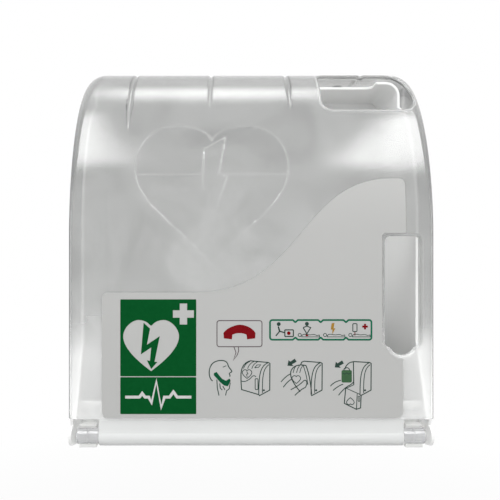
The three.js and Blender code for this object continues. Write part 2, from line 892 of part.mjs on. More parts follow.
// Shelf: a folded bracket on four bosses of the back wall, with gussets, and a rubber mat on top
const shelf_back_y = back_front_y - boss_height - fit_gap;
const shelf_front_y = shelf_back_y - shelf_depth;
const shelf_profile = roundedOutline([
  [shelf_back_y, shelf_low, shelf_bend],
  [shelf_back_y, shelf_top + shelf_back_height, 0],
  [shelf_back_y - shelf_thickness, shelf_top + shelf_back_height, 0],
  [shelf_back_y - shelf_thickness, shelf_top, shelf_bend - shelf_thickness],
  [shelf_front_y + shelf_thickness, shelf_top, shelf_bend - shelf_thickness],
  [shelf_front_y + shelf_thickness, shelf_top + shelf_lip_height, 0],
  [shelf_front_y, shelf_top + shelf_lip_height, 0],
  [shelf_front_y, shelf_low, shelf_bend],
]);
const gusset_profile = new THREE.Shape([
  new THREE.Vector2(shelf_back_y - shelf_thickness / 2, shelf_top - shelf_thickness / 2),
  new THREE.Vector2(shelf_back_y - shelf_thickness / 2, shelf_top + gusset_drop),
  new THREE.Vector2(shelf_back_y - gusset_reach, shelf_top - shelf_thickness / 2),
]);
const gusset = sweep(gusset_profile, 'x', shelf_width / 2 - shelf_thickness, shelf_width / 2);
const shelf_screw_holes = shelf_screws.map(([x, z]) =>
  sweep(disc(x, z, pilot_radius), 'y', shelf_back_y - 2 * shelf_thickness, shelf_back_y + cut_overrun),
);
addPiece(
  'device_shelf',
  cutFrom(
    joined(sweep(shelf_profile, 'x', -shelf_width / 2, shelf_width / 2), gusset, mirrored(gusset)),
    ...shelf_screw_holes,
  ),
  white_plastic,
);
shelf_screws.forEach(([x, z], index) => {
  const length = shelf_thickness + fit_gap + boss_height - fit_gap;
  const fixing = screw(x, shelf_back_y - shelf_thickness, z, shelf_screw_head_radius, length);
  addPiece(`shelf_screw_${index + 1}`, fixing, zinc_steel);
});
const pad_low = shelf_top + fit_gap;
const pad_rear_y = shelf_back_y - pad_back;
const pad_half_width = shelf_width / 2 - pad_side_gap;
addPiece(
  'shelf_pad',
  sweep(
    roundedBlock(-pad_half_width, pad_half_width, pad_rear_y - pad_depth, pad_rear_y, pad_corner),
    'z',
    pad_low,
    pad_low + pad_thickness,
  ),
  dark_rubber,
);

// Alarm base: a plate on the back wall with lid posts, board posts and a rest for the battery
const base_back_y = back_front_y - fit_gap;
const base_front_y = base_back_y - alarm_base_thickness;
const lid_back_y = base_front_y - fit_gap;
const lid_front_y = base_back_y - alarm_depth;
const lid_inside_y = lid_front_y + alarm_front_wall;
const alarm_left = alarm_x - alarm_width / 2;
const alarm_right = alarm_x + alarm_width / 2;
const alarm_low = alarm_z - alarm_height / 2;
const alarm_high = alarm_z + alarm_height / 2;
const lid_posts = [
  [alarm_left + post_inset_x, alarm_low + post_inset_z],
  [alarm_left + post_inset_x, alarm_high - post_inset_z],
];
const board_posts = [-1, 1].map((side) => [alarm_x + board_x + side * board_post_x, alarm_z]);
const board_back_y = base_front_y - board_back;
const board_front_y = board_back_y - board_thickness;
const battery_front_y = lid_inside_y + fit_gap;
const battery_back_y = battery_front_y + battery_thickness;
const battery_low = alarm_z - battery_height / 2;
const post_hole_radius = screw_shank_radius + fit_gap;
const base_plate = sweep(
  roundedBlock(alarm_left, alarm_right, alarm_low, alarm_high, alarm_corner),
  'y',
  base_front_y,
  base_back_y,
);
const tall_posts = lid_posts.map(([x, z]) =>
  sweep(disc(x, z, post_radius), 'y', lid_inside_y + fit_gap, base_front_y + alarm_base_thickness / 2),
);
const short_posts = board_posts.map(([x, z]) =>
  sweep(disc(x, z, board_post_radius), 'y', board_back_y + fit_gap, base_front_y + alarm_base_thickness / 2),
);
const battery_left = alarm_x + battery_x - battery_width / 2;
const battery_right = alarm_x + battery_x + battery_width / 2;
const rest_ribs = [-1, 1].map((side) => {
  const middle = alarm_z + (side * battery_height) / 4;
  return sweep(
    plate(battery_left, battery_right, middle, middle + battery_rest_thickness),
    'y',
    battery_back_y + fit_gap,
    base_front_y + alarm_base_thickness / 2,
  );
});
const rest_ledge = sweep(
  plate(battery_left, battery_right, battery_low - fit_gap - battery_rest_thickness, battery_low - fit_gap),
  'y',
  battery_front_y + fit_gap,
  base_front_y + alarm_base_thickness / 2,
);
const post_holes = lid_posts.map(([x, z]) =>
  sweep(disc(x, z, post_hole_radius), 'y', lid_inside_y - cut_overrun, lid_front_y + 2 * lid_screw_length),
);
addPiece(
  'alarm_base',
  cutFrom(joined(base_plate, ...tall_posts, ...short_posts, ...rest_ribs, rest_ledge), ...post_holes),
  pale_plastic,
);

// Alarm lid: an open-backed box with a sound grille, holes for lens and switch, and a battery hatch
const lid_block = sweep(
  roundedBlock(alarm_left, alarm_right, alarm_low, alarm_high, alarm_corner),
  'y',
  lid_front_y,
  lid_back_y,
);
const lid_hollow = sweep(
  roundedBlock(
    alarm_left + alarm_lid_wall,
    alarm_right - alarm_lid_wall,
    alarm_low + alarm_lid_wall,
    alarm_high - alarm_lid_wall,
    alarm_corner - alarm_lid_wall,
  ),
  'y',
  lid_inside_y,
  lid_back_y + cut_overrun,
);
const throughFront = (outline) =>
  sweep(outline, 'y', lid_front_y - cut_overrun, lid_inside_y + cut_overrun);
const grille_cuts = Array.from({ length: grille_slots }, (_, slot) => {
  const middle = alarm_z + siren_z + (slot - (grille_slots - 1) / 2) * grille_pitch;
  return throughFront(
    plate(
      alarm_x + siren_x - grille_slot_width / 2,
      alarm_x + siren_x + grille_slot_width / 2,
      middle - grille_slot_height / 2,
      middle + grille_slot_height / 2,
    ),
  );
});
const lens_cut = throughFront(disc(alarm_x + lens_x, alarm_z + lens_z, lens_radius + fit_gap));
const switch_left = alarm_x + switch_x;
const switch_low = alarm_z + switch_z;
const switch_cut = throughFront(
  plate(
    switch_left - fit_gap,
    switch_left + switch_width + switch_travel + fit_gap,
    switch_low - fit_gap,
    switch_low + switch_height + fit_gap,
  ),
);
const lid_screw_cuts = lid_posts.map(([x, z]) => throughFront(disc(x, z, post_hole_radius)));
const hatch_left = alarm_x + door_left;
const tongue_half = door_height / 2 + door_tongue;
const tongue_front_y = lid_front_y + door_plate_thickness - door_tongue_thickness;
const hatch_track = joined(
  sweep(
    plate(lid_front_y - cut_overrun, tongue_front_y, alarm_z - door_height / 2, alarm_z + door_height / 2),
    'x',
    hatch_left,
    alarm_right + cut_overrun,
  ),
  sweep(
    plate(
      tongue_front_y - fit_gap,
      lid_front_y + door_plate_thickness + fit_gap,
      alarm_z - tongue_half,
      alarm_z + tongue_half,
    ),
    'x',
    hatch_left,
    alarm_right + cut_overrun,
  ),
);
const battery_window = throughFront(
  plate(
    battery_left - fit_gap,
    battery_right + fit_gap,
    alarm_z - tongue_half + door_ledge,
    alarm_z + tongue_half - door_ledge,
  ),
);
const wire_x = alarm_x - reed_width / 2 - wire_side_step;
const wire_rear_y = back_front_y - wire_back;
const wire_hole = sweep(
  disc(wire_x, wire_rear_y, wire_radius + fit_gap),
  'z',
  alarm_low - cut_overrun,
  alarm_low + alarm_lid_wall + cut_overrun,
);
addPiece(
  'alarm_lid',
  cutFrom(
    lid_block,
    lid_hollow,
    ...grille_cuts,
    lens_cut,
    switch_cut,
    ...lid_screw_cuts,
    hatch_track,
    battery_window,
    wire_hole,
  ),
  white_plastic,
);
lid_posts.forEach(([x, z], index) => {
  const fixing = screw(x, lid_front_y, z, screw_head_radius, alarm_front_wall + lid_screw_length);
  addPiece(`lid_screw_${index + 1}`, fixing, zinc_steel);
});

// Battery door: slides out to the right in the lid's two tracks, on a tongue along each long edge
const door_left_x = hatch_left + fit_gap;
const door_front = sweep(
  plate(
    lid_front_y,
    lid_front_y + door_plate_thickness,
    alarm_z - door_height / 2 + fit_gap,
    alarm_z + door_height / 2 - fit_gap,
  ),
  'x',
  door_left_x,
  alarm_right,
);
const door_tongues = sweep(
  plate(
    tongue_front_y,
    lid_front_y + door_plate_thickness,
    alarm_z - tongue_half + fit_gap,
    alarm_z + tongue_half - fit_gap,
  ),
  'x',
  door_left_x,
  alarm_right,
);
const door_grips = Array.from({ length: grip_ribs }, (_, rib) => {
  const left = alarm_right - grip_inset - rib * grip_pitch;
  return sweep(
    plate(left, left + grip_width, alarm_z - grip_height / 2, alarm_z + grip_height / 2),
    'y',
    lid_front_y - grip_rise,
    lid_front_y + door_plate_thickness / 2,
  );
});
addPiece('battery_door', joined(door_front, door_tongues, ...door_grips), white_plastic);

// Battery pack: a block battery with two snap terminals on its upper end
const battery_block = sweep(
  roundedBlock(battery_left, battery_right, battery_front_y, battery_back_y, battery_corner),
  'z',
  battery_low,
  battery_low + battery_height - terminal_height,
);
const battery_terminals = [-1, 1].map((side) =>
  sweep(
    disc(
      (battery_left + battery_right) / 2 + (side * battery_width) / 4,
      (battery_front_y + battery_back_y) / 2,
      terminal_radius,
    ),
    'z',
    battery_low + battery_height - 2 * terminal_height,
    battery_low + battery_height,
  ),
);
addPiece('battery_pack', joined(battery_block, ...battery_terminals), battery_sleeve);

// Circuit board on its two posts, with the siren on its front
addPiece(
  'alarm_board',
  sweep(
    plate(
      alarm_x + board_x - board_width / 2,
      alarm_x + board_x + board_width / 2,
      alarm_z - board_height / 2,
      alarm_z + board_height / 2,
    ),
    'y',
    board_front_y,
    board_back_y,
  ),
  board_green,
);
const siren_seat_y = board_front_y - fit_gap;
addPiece(
  'siren',
  lathe(
    [
      [0, siren_port_depth - siren_height],
      [siren_port_radius, siren_port_depth - siren_height],
      [siren_port_radius, -siren_height],
      [siren_radius - siren_port_radius / 2, -siren_height],
      [siren_radius, siren_port_radius / 2 - siren_height],
      [siren_radius, 0],
      [0, 0],
    ],
    'y',
    [alarm_x + siren_x, siren_seat_y, alarm_z + siren_z],
  ),
  black_plastic,
);

// Indicator lens, flanged behind the lid
addPiece(
  'indicator_lens',
  lathe(
    [
      [0, -alarm_front_wall - fit_gap - lens_dome],
      [lens_radius * Math.SQRT1_2, -alarm_front_wall - fit_gap - lens_dome / 2],
      [lens_radius, -alarm_front_wall - fit_gap],
      [lens_radius, 0],
      [lens_radius + lens_flange, 0],
      [lens_radius + lens_flange, lens_flange],
      [0, lens_flange],
    ],
    'y',
    [alarm_x + lens_x, lid_inside_y + fit_gap, alarm_z + lens_z],
    small_sides,
  ),
  lens_red,
);

// Arming switch: a knob that slides in the lid's slot, with a flange behind it
addPiece(
  'arming_switch',
  joined(
    sweep(
      plate(switch_left, switch_left + switch_width, switch_low, switch_low + switch_height),
      'y',
      lid_front_y - switch_rise,
      lid_inside_y + fit_gap + switch_flange_thickness / 2,
    ),
    sweep(
      plate(
        switch_left - switch_flange,
        switch_left + switch_width + switch_flange,
        switch_low - switch_flange,
        switch_low + switch_height + switch_flange,
      ),
      'y',
      lid_inside_y + fit_gap,
      lid_inside_y + fit_gap + switch_flange_thickness,
    ),
  ),
  black_plastic,
);

// Magnet in its holder on the inside of the cover
const holder_front_y = front_y + cover_wall + fit_gap;
const holder_z = face_low + holder_rise;
const holder_rear_y = holder_front_y + holder_depth;
const magnet_rear_y = holder_rear_y;
const magnet_front_y = magnet_rear_y - magnet_thickness;
const magnetOutline = (grow) =>
  plate(
    alarm_x - magnet_width / 2 - grow,
    alarm_x + magnet_width / 2 + grow,
    holder_z - magnet_height / 2 - grow,
    holder_z + magnet_height / 2 + grow,
  );
addPiece(
  'magnet_holder',
  cutFrom(
    sweep(
      roundedBlock(
        alarm_x - magnet_width / 2 - holder_wall,
        alarm_x + magnet_width / 2 + holder_wall,
        holder_z - magnet_height / 2 - holder_wall,
        holder_z + magnet_height / 2 + holder_wall,
        holder_wall,
      ),
      'y',
      holder_front_y,
      holder_rear_y,
    ),
    sweep(magnetOutline(fit_gap), 'y', magnet_front_y - fit_gap, holder_rear_y + cut_overrun),
  ),
  white_plastic,
);
addPiece('sensor_magnet', sweep(magnetOutline(0), 'y', magnet_front_y, magnet_rear_y), magnet_alloy);

// Reed switch on the back of the upstand, level with the magnet's lower edge
const reed_front_y = floor_front_y + housing_wall + fit_gap;
const reed_z = floor_z + upstand_height - reed_drop;
const reed_left = alarm_x - reed_width / 2;
addPiece(
  'reed_sensor',
  sweep(
    roundedBlock(
      reed_left,
      alarm_x + reed_width / 2,
      reed_z - reed_height / 2,
      reed_z + reed_height / 2,
      reed_corner,
    ),
    'y',
    reed_front_y,
    reed_front_y + reed_thickness,
  ),
  white_plastic,
);

// Sensor wire: out of the reed switch, down to the floor, back under two clips and up into the lid
const wire_y = reed_front_y + reed_thickness / 2;
const wire_floor_z = floor_z + housing_wall + wire_radius + 2 * fit_gap;
const wire_corners = [
  [reed_left - fit_gap, wire_y, reed_z],
  [wire_x, wire_y, reed_z],
  [wire_x, wire_y, wire_floor_z],
  [wire_x, wire_rear_y, wire_floor_z],
  [wire_x, wire_rear_y, alarm_low + alarm_lid_wall + wire_bend],
].map((corner) => new THREE.Vector3(...corner));

function bentWire(corners) {
  const route = new THREE.CurvePath();
  let last = corners[0];
  corners.slice(1, -1).forEach((corner, index) => {
    const before = corners[index].clone().sub(corner).setLength(wire_bend).add(corner);
    const after = corners[index + 2].clone().sub(corner).setLength(wire_bend).add(corner);
    route.add(new THREE.LineCurve3(last, before));
    route.add(new THREE.QuadraticBezierCurve3(before, corner, after));
    last = after;
  });
  route.add(new THREE.LineCurve3(last, corners.at(-1)));
  return route;
}

const wire_section = new THREE.Shape(
  Array.from({ length: wire_sides }, (_, side) => {
    const turn = (2 * Math.PI * side) / wire_sides;
    return new THREE.Vector2(wire_radius * Math.cos(turn), wire_radius * Math.sin(turn));
  }),
);
const wire_body = new THREE.ExtrudeGeometry(wire_section, {
  steps: wire_steps,
  extrudePath: bentWire(wire_corners),
  bevelEnabled: false,
});
addPiece('sensor_wire', solidOf(wire_body), pale_plastic);

// Arch over the wire: a half round above its middle, with straight sides down past the clip's foot
function archOutline(middle, height, radius, low) {
  const outline = new THREE.Shape();
  outline.moveTo(middle - radius, low);
  outline.lineTo(middle + radius, low);
  outline.absarc(middle, height, radius, 0, Math.PI);
  return outline;
}

const clip_tunnel = wire_radius + fit_gap;
wire_clip_shares.forEach((share, index) => {
  const back = -share * floor_front_y;
  const clip_low = floor_z + housing_wall + fit_gap;
  const arch_top = wire_floor_z + clip_tunnel + wire_clip_wall;
  const arch = cutFrom(
    sweep(
      roundedOutline([
        [wire_x - wire_clip_width / 2, clip_low, 0],
        [wire_x + wire_clip_width / 2, clip_low, 0],
        [wire_x + wire_clip_width / 2, arch_top, wire_clip_wall],
        [wire_x - wire_clip_width / 2, arch_top, wire_clip_wall],
      ]),
      'y',
      -back - wire_clip_length / 2,
      wire_clip_length / 2 - back,
    ),
    sweep(
      archOutline(wire_x, wire_floor_z, clip_tunnel, clip_low - cut_overrun),
      'y',
      -back - wire_clip_length,
      wire_clip_length - back,
    ),
  );
  addPiece(`wire_clip_${index + 1}`, arch, pale_plastic);
});

export default cabinet;
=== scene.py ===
import math

import bmesh
import bpy
import numpy as np
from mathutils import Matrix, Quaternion, Vector
from mathutils.geometry import delaunay_2d_cdt, tessellate_polygon


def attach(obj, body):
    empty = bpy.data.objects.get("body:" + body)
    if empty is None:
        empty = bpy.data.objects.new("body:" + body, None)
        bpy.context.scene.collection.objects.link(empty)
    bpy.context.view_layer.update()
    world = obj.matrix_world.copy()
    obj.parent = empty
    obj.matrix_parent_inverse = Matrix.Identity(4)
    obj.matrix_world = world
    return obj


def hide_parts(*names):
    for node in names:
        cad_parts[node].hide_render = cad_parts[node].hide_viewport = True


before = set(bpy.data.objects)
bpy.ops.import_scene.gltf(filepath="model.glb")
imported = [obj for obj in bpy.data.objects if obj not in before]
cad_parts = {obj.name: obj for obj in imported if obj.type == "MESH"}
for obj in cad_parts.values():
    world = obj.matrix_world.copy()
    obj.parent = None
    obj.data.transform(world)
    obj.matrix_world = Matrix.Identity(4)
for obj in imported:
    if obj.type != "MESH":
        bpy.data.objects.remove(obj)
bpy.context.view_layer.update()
mm = 0.001


# Camera: square on to the cover and a little left of its middle, as near as a table-top product shot. The
# lens is shifted sideways to bring the cover back to the middle of the picture.
lens = bpy.data.cameras.new("product_lens")
lens.lens = 40.8
lens.sensor_width = 36
lens.shift_x = 0.046
lens.clip_start = 0.02
camera = bpy.data.objects.new("camera", lens)
camera.location = (-25.7 * mm, -801 * mm, -1.4 * mm)
camera.rotation_euler = (math.pi / 2, 0, 0)
bpy.context.collection.objects.link(camera)
bpy.context.scene.camera = camera
bpy.context.scene.view_settings.view_transform = "Standard"


# Studio: soft boxes above, in front and at both sides, and white all round as the eye sees it. The Light
# Path keeps that white out of the light on the cabinet, which hangs clear of the floor to let the cover open.
class Shade:
    """A socket in a node tree. Arithmetic on it adds Math nodes."""

    def __init__(self, tree, socket=None):
        self.tree = tree
        self.socket = socket

    def add(self, kind, settings=None, values=None, output=0):
        """An output of a new node, made with its settings and then its sockets' values or links."""
        node = self.tree.nodes.new(kind)
        for name, value in (settings or {}).items():
            setattr(node, name, value)
        for name, value in (values or {}).items():
            if isinstance(name, str):
                socket = next(s for s in node.inputs if s.name == name and s.enabled)
            else:
                socket = node.inputs[name]
            if isinstance(value, Shade):
                self.tree.links.new(value.socket, socket)
            else:
                socket.default_value = value
        return Shade(self.tree, [s for s in node.outputs if s.enabled][output])

    def into(self, node, name):
        self.tree.links.new(self.socket, node.inputs[name])

    def maths(self, operation, *terms):
        return self.add("ShaderNodeMath", {"operation": operation}, dict(enumerate(terms)))

    def __add__(self, other):
        return self.maths("ADD", self, other)

    def __mul__(self, other):
        return self.maths("MULTIPLY", self, other)

    def __rsub__(self, other):
        return self.maths("SUBTRACT", other, self)

    __radd__ = __add__
    __rmul__ = __mul__

    def larger(self, other):
        return self.maths("MAXIMUM", self, other)

    def ramp(self, first, last, start=0, end=1, kind="SMOOTHSTEP"):
        """A value that runs from start, where this one is first, to end, where it is last."""
        span = {"Value": self, "From Min": first, "From Max": last, "To Min": start, "To Max": end}
        return self.add("ShaderNodeMapRange", {"interpolation_type": kind}, span)

    def mix(self, low, high):
        """Colour from low, where this value is 0, to high, where it is 1."""
        low = low if isinstance(low, Shade) else (*low, 1)
        return self.add("ShaderNodeMix", {"data_type": "RGBA"}, {"Factor": self, "A": low, "B": (*high, 1)})

    def between(self, first, second):
        """Surface from first, where this value is 0, to second, where it is 1."""
        return self.add("ShaderNodeMixShader", {}, {0: self, 1: first, 2: second})

    def noise(self, scale, detail, **more):
        """Cloudy value over this place."""
        return self.add("ShaderNodeTexNoise", {}, {"Vector": self, "Scale": scale, "Detail": detail, **more})

    def bump(self, strength, depth):
        return self.add("ShaderNodeBump", {}, {"Strength": strength, "Distance": depth, "Height": self})

    def ray(self, *kinds):
        """1 where the ray is of any of these kinds."""
        node = self.tree.nodes.new("ShaderNodeLightPath")
        first, *others = [Shade(self.tree, node.outputs[f"Is {kind} Ray"]) for kind in kinds]
        for other in others:
            first = first.larger(other)
        return first


def new_finish(name, **plain):
    """A material, its shader with the plain values set on it, and the place on the surface to start from."""
    made = bpy.data.materials.new(name)
    made.use_nodes = True
    gloss = made.node_tree.nodes["Principled BSDF"]
    for socket, value in plain.items():
        gloss.inputs[socket.replace("_", " ")].default_value = value
    return made, gloss, Shade(made.node_tree).add("ShaderNodeTexCoord", output=3)


def softbox(name, place, aim, width, height, watts, fades=(0.3, 0.22), lean=0):
    """Rectangular lamp aimed at a point and leaned over, fading near its rim by shares of its sides."""
    light = bpy.data.lights.new(name, "AREA")
    light.shape = "RECTANGLE"
    light.size = width
    light.size_y = height
    light.energy = watts
    light.use_nodes = True
    glow = Shade(light.node_tree)
    spread = glow.add("ShaderNodeSeparateXYZ", {}, {0: glow.add("ShaderNodeNewGeometry", output=5)})
    level = 1.7
    for across, fade in zip(spread.socket.node.outputs[:2], fades):
        inset = 0.5 - glow.maths("ABSOLUTE", Shade(light.node_tree, across) + -0.5)
        level = level * inset.ramp(0, fade)
    level.into(light.node_tree.nodes["Emission"], "Strength")
    lamp = bpy.data.objects.new(name, light)
    lamp.location = place
    aimed = (Vector(aim) - Vector(place)).to_track_quat("-Z", "Y")
    lamp.rotation_euler = (aimed @ Quaternion((0, 0, 1), math.radians(lean))).to_euler()
    bpy.context.collection.objects.link(lamp)


softbox("lamp_overhead", (-0.05, -0.13, 0.98), (-0.05, -0.11, 0), 0.78, 0.44, 3.9, (0.3, 0.5))
softbox("lamp_left", (-0.66, -1.14, 1.28), (-0.16, -0.18, 0.12), 0.56, 1.3, 11.3, lean=29)
softbox("lamp_right", (0.66, -1.17, 1.25), (0.14, -0.18, 0.12), 0.5, 1.3, 10.8, lean=-32)
for side, name in ((-1, "lamp_front_left"), (1, "lamp_front_right")):
    softbox(name, (side * 1.9, -1.6, 0.3), (0, -0.1, 0), 0.7, 1.3, 5)

white = (1, 1, 1, 1)
studio = bpy.data.worlds.new("studio")
studio.use_nodes = True
bpy.context.scene.world = studio
sky = Shade(studio.node_tree)
fill_light, seen_light = (
    sky.add("ShaderNodeBackground", {}, {"Strength": strength, "Color": white}) for strength in (0.57, 1.0)
)
backdrop = sky.ray("Camera", "Glossy", "Transmission").between(fill_light, seen_light)
backdrop.into(studio.node_tree.nodes["World Output"], "Surface")

floor_radius = 5
floor_height = -640 * mm
floor_mesh = bpy.data.meshes.new("studio_floor")
floor_shape = bmesh.new()
bmesh.ops.create_circle(floor_shape, cap_ends=True, segments=96, radius=floor_radius)
bmesh.ops.translate(floor_shape, verts=floor_shape.verts, vec=(0, 0, floor_height))
floor_shape.to_mesh(floor_mesh)
floor_shape.free()
floor = bpy.data.objects.new("studio_floor", floor_mesh)
bpy.context.collection.objects.link(floor)
floor_paint, _, ground = new_finish("pale_floor")
flat = ground.add("ShaderNodeVectorMath", {"operation": "MULTIPLY"}, {0: ground, 1: (1, 1, 0)})
away = ground.add("ShaderNodeVectorMath", {"operation": "LENGTH"}, {0: flat})
far = away.ramp(0.5, 1.3, kind="LINEAR")
paint = ground.add("ShaderNodeBsdfDiffuse", {}, {"Color": (0.8, 0.8, 0.8, 1)})
glowing = ground.add("ShaderNodeEmission", {}, {"Color": white, "Strength": 1.0})
seen = ground.ray("Camera", "Glossy", "Transmission") * (0.88 + 0.12 * far)
seen.between(paint, glowing).into(floor_paint.node_tree.nodes["Material Output"], "Surface")
floor_mesh.materials.append(floor_paint)


# Clear cover: one polycarbonate moulding, 3 mm thick. A flat face rolls back over a quarter ellipse into
# the top, and its sides turn back round corners that widen from the face to the top, into tapering flanges.
# The shell is a grid over two lengths in millimetres: q across the section and s up the profile.
half_width = 194
wall = 3
face_low = -181
curve_start = 202.5
curve_height = 193
curve_depth = 112
front = -201
top = 214.5
rear_run = 77
corner_least, corner_growth = 4, 18
flange_least, flange_growth, flange_rise = 6, 44, 77
web_even, web_end, corner_end, skirt_end = 160, 172, 202, 242
turns = np.linspace(0, math.pi / 2, 2001)
arc_y = curve_depth * (1 - np.cos(turns))
arc_z = curve_height * np.sin(turns)
arc_length = np.concatenate([[0], np.cumsum(np.hypot(np.diff(arc_y), np.diff(arc_z)))])
profile_end = curve_start + arc_length[-1] + rear_run


def profile(s):
    """Place (y, z) on the cover's profile and its outward normal, for lengths s from the lower edge."""
    turn = np.interp(s - curve_start, arc_length, turns)
    y = front + curve_depth * (1 - np.cos(turn)) + np.maximum(s - profile_end + rear_run, 0)
    z = np.minimum(face_low + s, face_low + curve_start) + curve_height * np.sin(turn)
    out_y = -curve_height * np.cos(turn)
    out_z = curve_depth * np.sin(turn)
    size = np.hypot(out_y, out_z)
    return y, z, out_y / size, out_z / size


def eased(value, low, high):
    """0 below low, 1 above high and a soft rise between them."""
    share = np.clip((value - low) / (high - low), 0, 1)
    return share * share * (3 - 2 * share)


def bezier(points, steps):
    """Points along joined cubic curves, given as a start and then three points for each curve."""
    path = [np.array(points[0], float)]
    for i in range(1, len(points) - 1, 3):
        a, b, c, d = (np.array(p, float) for p in (points[i - 1], *points[i : i + 3]))
        for step in range(1, steps + 1):
            t = step / steps
            path.append(a * (1 - t) ** 3 + 3 * b * t * (1 - t) ** 2 + 3 * c * t * t * (1 - t) + d * t**3)
    return np.array(path)


def inside(outline, x, y):
    """Whether points lie within a closed outline."""
    found = np.zeros(np.shape(x), bool)
    for (ax, ay), (bx, by) in zip(outline, np.roll(outline, -1, 0)):
        if ay != by:
            found ^= ((ay > y) != (by > y)) & (x < (bx - ax) * (y - ay) / (by - ay) + ax)
    return found


def distance(outline, x, y):
    """Distance of points from a closed outline."""
    nearest = np.full(np.shape(x), 1e9)
    for (ax, ay), (bx, by) in zip(outline, np.roll(outline, -1, 0)):
        run = (bx - ax) ** 2 + (by - ay) ** 2
        share = np.clip(((x - ax) * (bx - ax) + (y - ay) * (by - ay)) / max(run, 1e-9), 0, 1)
        nearest = np.minimum(nearest, np.hypot(x - ax - share * (bx - ax), y - ay - share * (by - ay)))
    return nearest


# Relief moulded into the cover: a heart with a bolt in it, sunk 0.7 mm into the face, four grooves that
# stiffen the crown, and a bead round the finger slot. The heart is drawn as half its width and a height on s.
heart_middle = -42
half_heart = [(0, 301), (5, 311), (19, 318), (38, 318), (64, 318), (82.5, 298), (82.5, 268)]
half_heart += [(82.5, 230), (34, 204), (0, 165)]
right_heart = bezier(half_heart, 12)
left_heart = right_heart[::-1][1:-1] * (-1, 1)
heart = np.concatenate([right_heart, left_heart]) + (heart_middle, 0)
bolt = np.array([(-9, 290), (15, 305), (8, 262), (17, 258), (2, 216), (10, 219), (-12, 186), (-14, 226)])
bolt = np.concatenate([bolt, [(-6, 222), (-2, 242), (-10, 246)]]) + (heart_middle, 0)
heart_depth, relief_edge = 0.7, 0.9
crease_place, crease_depth, crease_half_width = 261, 0.18, 1.4
bead_height, bead_place, bead_half_width = 1.1, 1.9, 1.7
bolt_fade = (196, 264)
groove_depth, groove_half_width, groove_least, groove_fade, groove_start = 2, 3.4, 0.3, 38, 10
groove_places = (45, 135)
groove_feet = (top - 70, top - 86)
right_groove_foot = top - 54
slot_bead = None


def skin(q, s, plain=False):
    """Outer surface of the shell: a place for each pair of q and s. A plain one has no heart and no bead."""
    y, z, out_y, out_z = profile(s)
    radius = corner_least + corner_growth * out_z
    side = np.sign(q)
    across = np.abs(q)
    web = half_width - radius
    stretched = web_even + (across - web_even) / (web_end - web_even) * (web - web_even)
    x = np.where(across <= web_even, across, np.minimum(stretched, web))
    turn = np.clip((across - web_end) / (corner_end - web_end), 0, 1) * math.pi / 2
    x = x + radius * np.sin(turn)
    depth = radius * (1 - np.cos(turn))
    skirt = flange_least + flange_growth * np.clip((z - face_low) / flange_rise, 0, 1)
    depth = depth + np.clip((across - corner_end) / (skirt_end - corner_end), 0, 1) * (skirt - radius)
    for place, foot in zip(groove_places, groove_feet):
        foot = np.where(side * x > sum(groove_places) / 2, right_groove_foot, foot)
        spread = groove_least + (1 - groove_least) * eased(z, foot, foot + groove_fade)
        reach = np.clip(np.abs(x - place) / (groove_half_width * spread), 0, 1)
        begun = eased(z, foot, foot + groove_start)
        depth = depth + groove_depth * spread**2 * begun * (1 - eased(reach, 0, 1))
    if not plain:
        place = side * x
        if slot_bead is not None:
            reach = distance(slot_bead, q, s)
            depth = depth - bead_height * (1 - eased(np.abs(reach - bead_place), 0, bead_half_width))
        rim = distance(heart, place, s)
        sunk = np.where(inside(heart, place, s), eased(rim, 0, relief_edge), 0)
        raised = np.where(inside(bolt, place, s), eased(distance(bolt, place, s), 0, relief_edge), 0)
        raised = raised * eased(s, *bolt_fade)
        crease = sunk * (1 - raised) * (1 - eased(np.abs(s - crease_place), 0, crease_half_width))
        depth = depth + heart_depth * (sunk * (1 - raised)) + crease_depth * crease
    return np.stack([side * x, y - out_y * depth, z - out_z * depth], -1)


def painted_edge_light(q, s):
    """Painted highlight along edges of the moulding, or below 0, painted shade: light lines on the heart,
    bolt, crease, slot bead and groove tail, painted shade in the heart and a painted dark line where the
    sides turn back.
    """
    line_fade = (0.3, 2)
    bolt_rise, heart_rise, tail_rise, tail_fall = (200, 266), (195, 265), (318, 332), (350, 372)
    bead_light, crease_light, groove_light, heart_shade, outline_shade = 3.2, 0.6, 1.2, 0.18, 1.5
    sunk = inside(heart, q, s) & ~inside(bolt, q, s)
    bolt_line = (1 - eased(distance(bolt, q, s), *line_fade)) * eased(s, *bolt_rise)
    line = np.maximum(1 - eased(distance(heart, q, s), *line_fade), bolt_line)
    line = line * (0.35 + 0.45 * eased(s, *heart_rise))
    crease = np.where(sunk, crease_light * (1 - eased(np.abs(s - crease_place), 0.2, 1.8)), 0)
    bead = bead_light * (1 - eased(np.abs(distance(slot_bead, q, s) - bead_place), 0.2, bead_half_width))
    tail = eased(s, *tail_rise) * (1 - eased(s, *tail_fall))
    tail = tail * (1 - eased(np.abs(q + groove_places[1]), 0.2, 1.6))
    turn = np.clip((np.abs(q) - web_end) / (corner_end - web_end), 0, 1) * math.pi / 2
    up = profile(s)[3]
    line_width = 1.6 - 0.6 * up
    thin = np.arccos(1 - line_width / (corner_least + corner_growth * up))
    outline = eased(turn, math.pi / 2 - 1.4 * thin, math.pi / 2 - 0.6 * thin)
    outline = outline * (1 - eased(np.abs(q), corner_end + 1, corner_end + 8))
    light = np.maximum.reduce([line, crease, bead, groove_light * tail])
    return light - heart_shade * sunk - outline_shade * outline


def skin_normals(q, s, plain=False):
    """Outward normals of the outer surface, from short steps along q and s."""
    q_step = np.where(np.abs(q) < 0.1, 0.05, 0.02)
    s_step = 0.02
    run_q = skin(q + q_step, s, plain) - skin(q - q_step, s, plain)
    run_s = skin(q, s + s_step, plain) - skin(q, s - s_step, plain)
    normals = np.cross(run_q, run_s)
    return normals / np.linalg.norm(normals, axis=-1, keepdims=True)


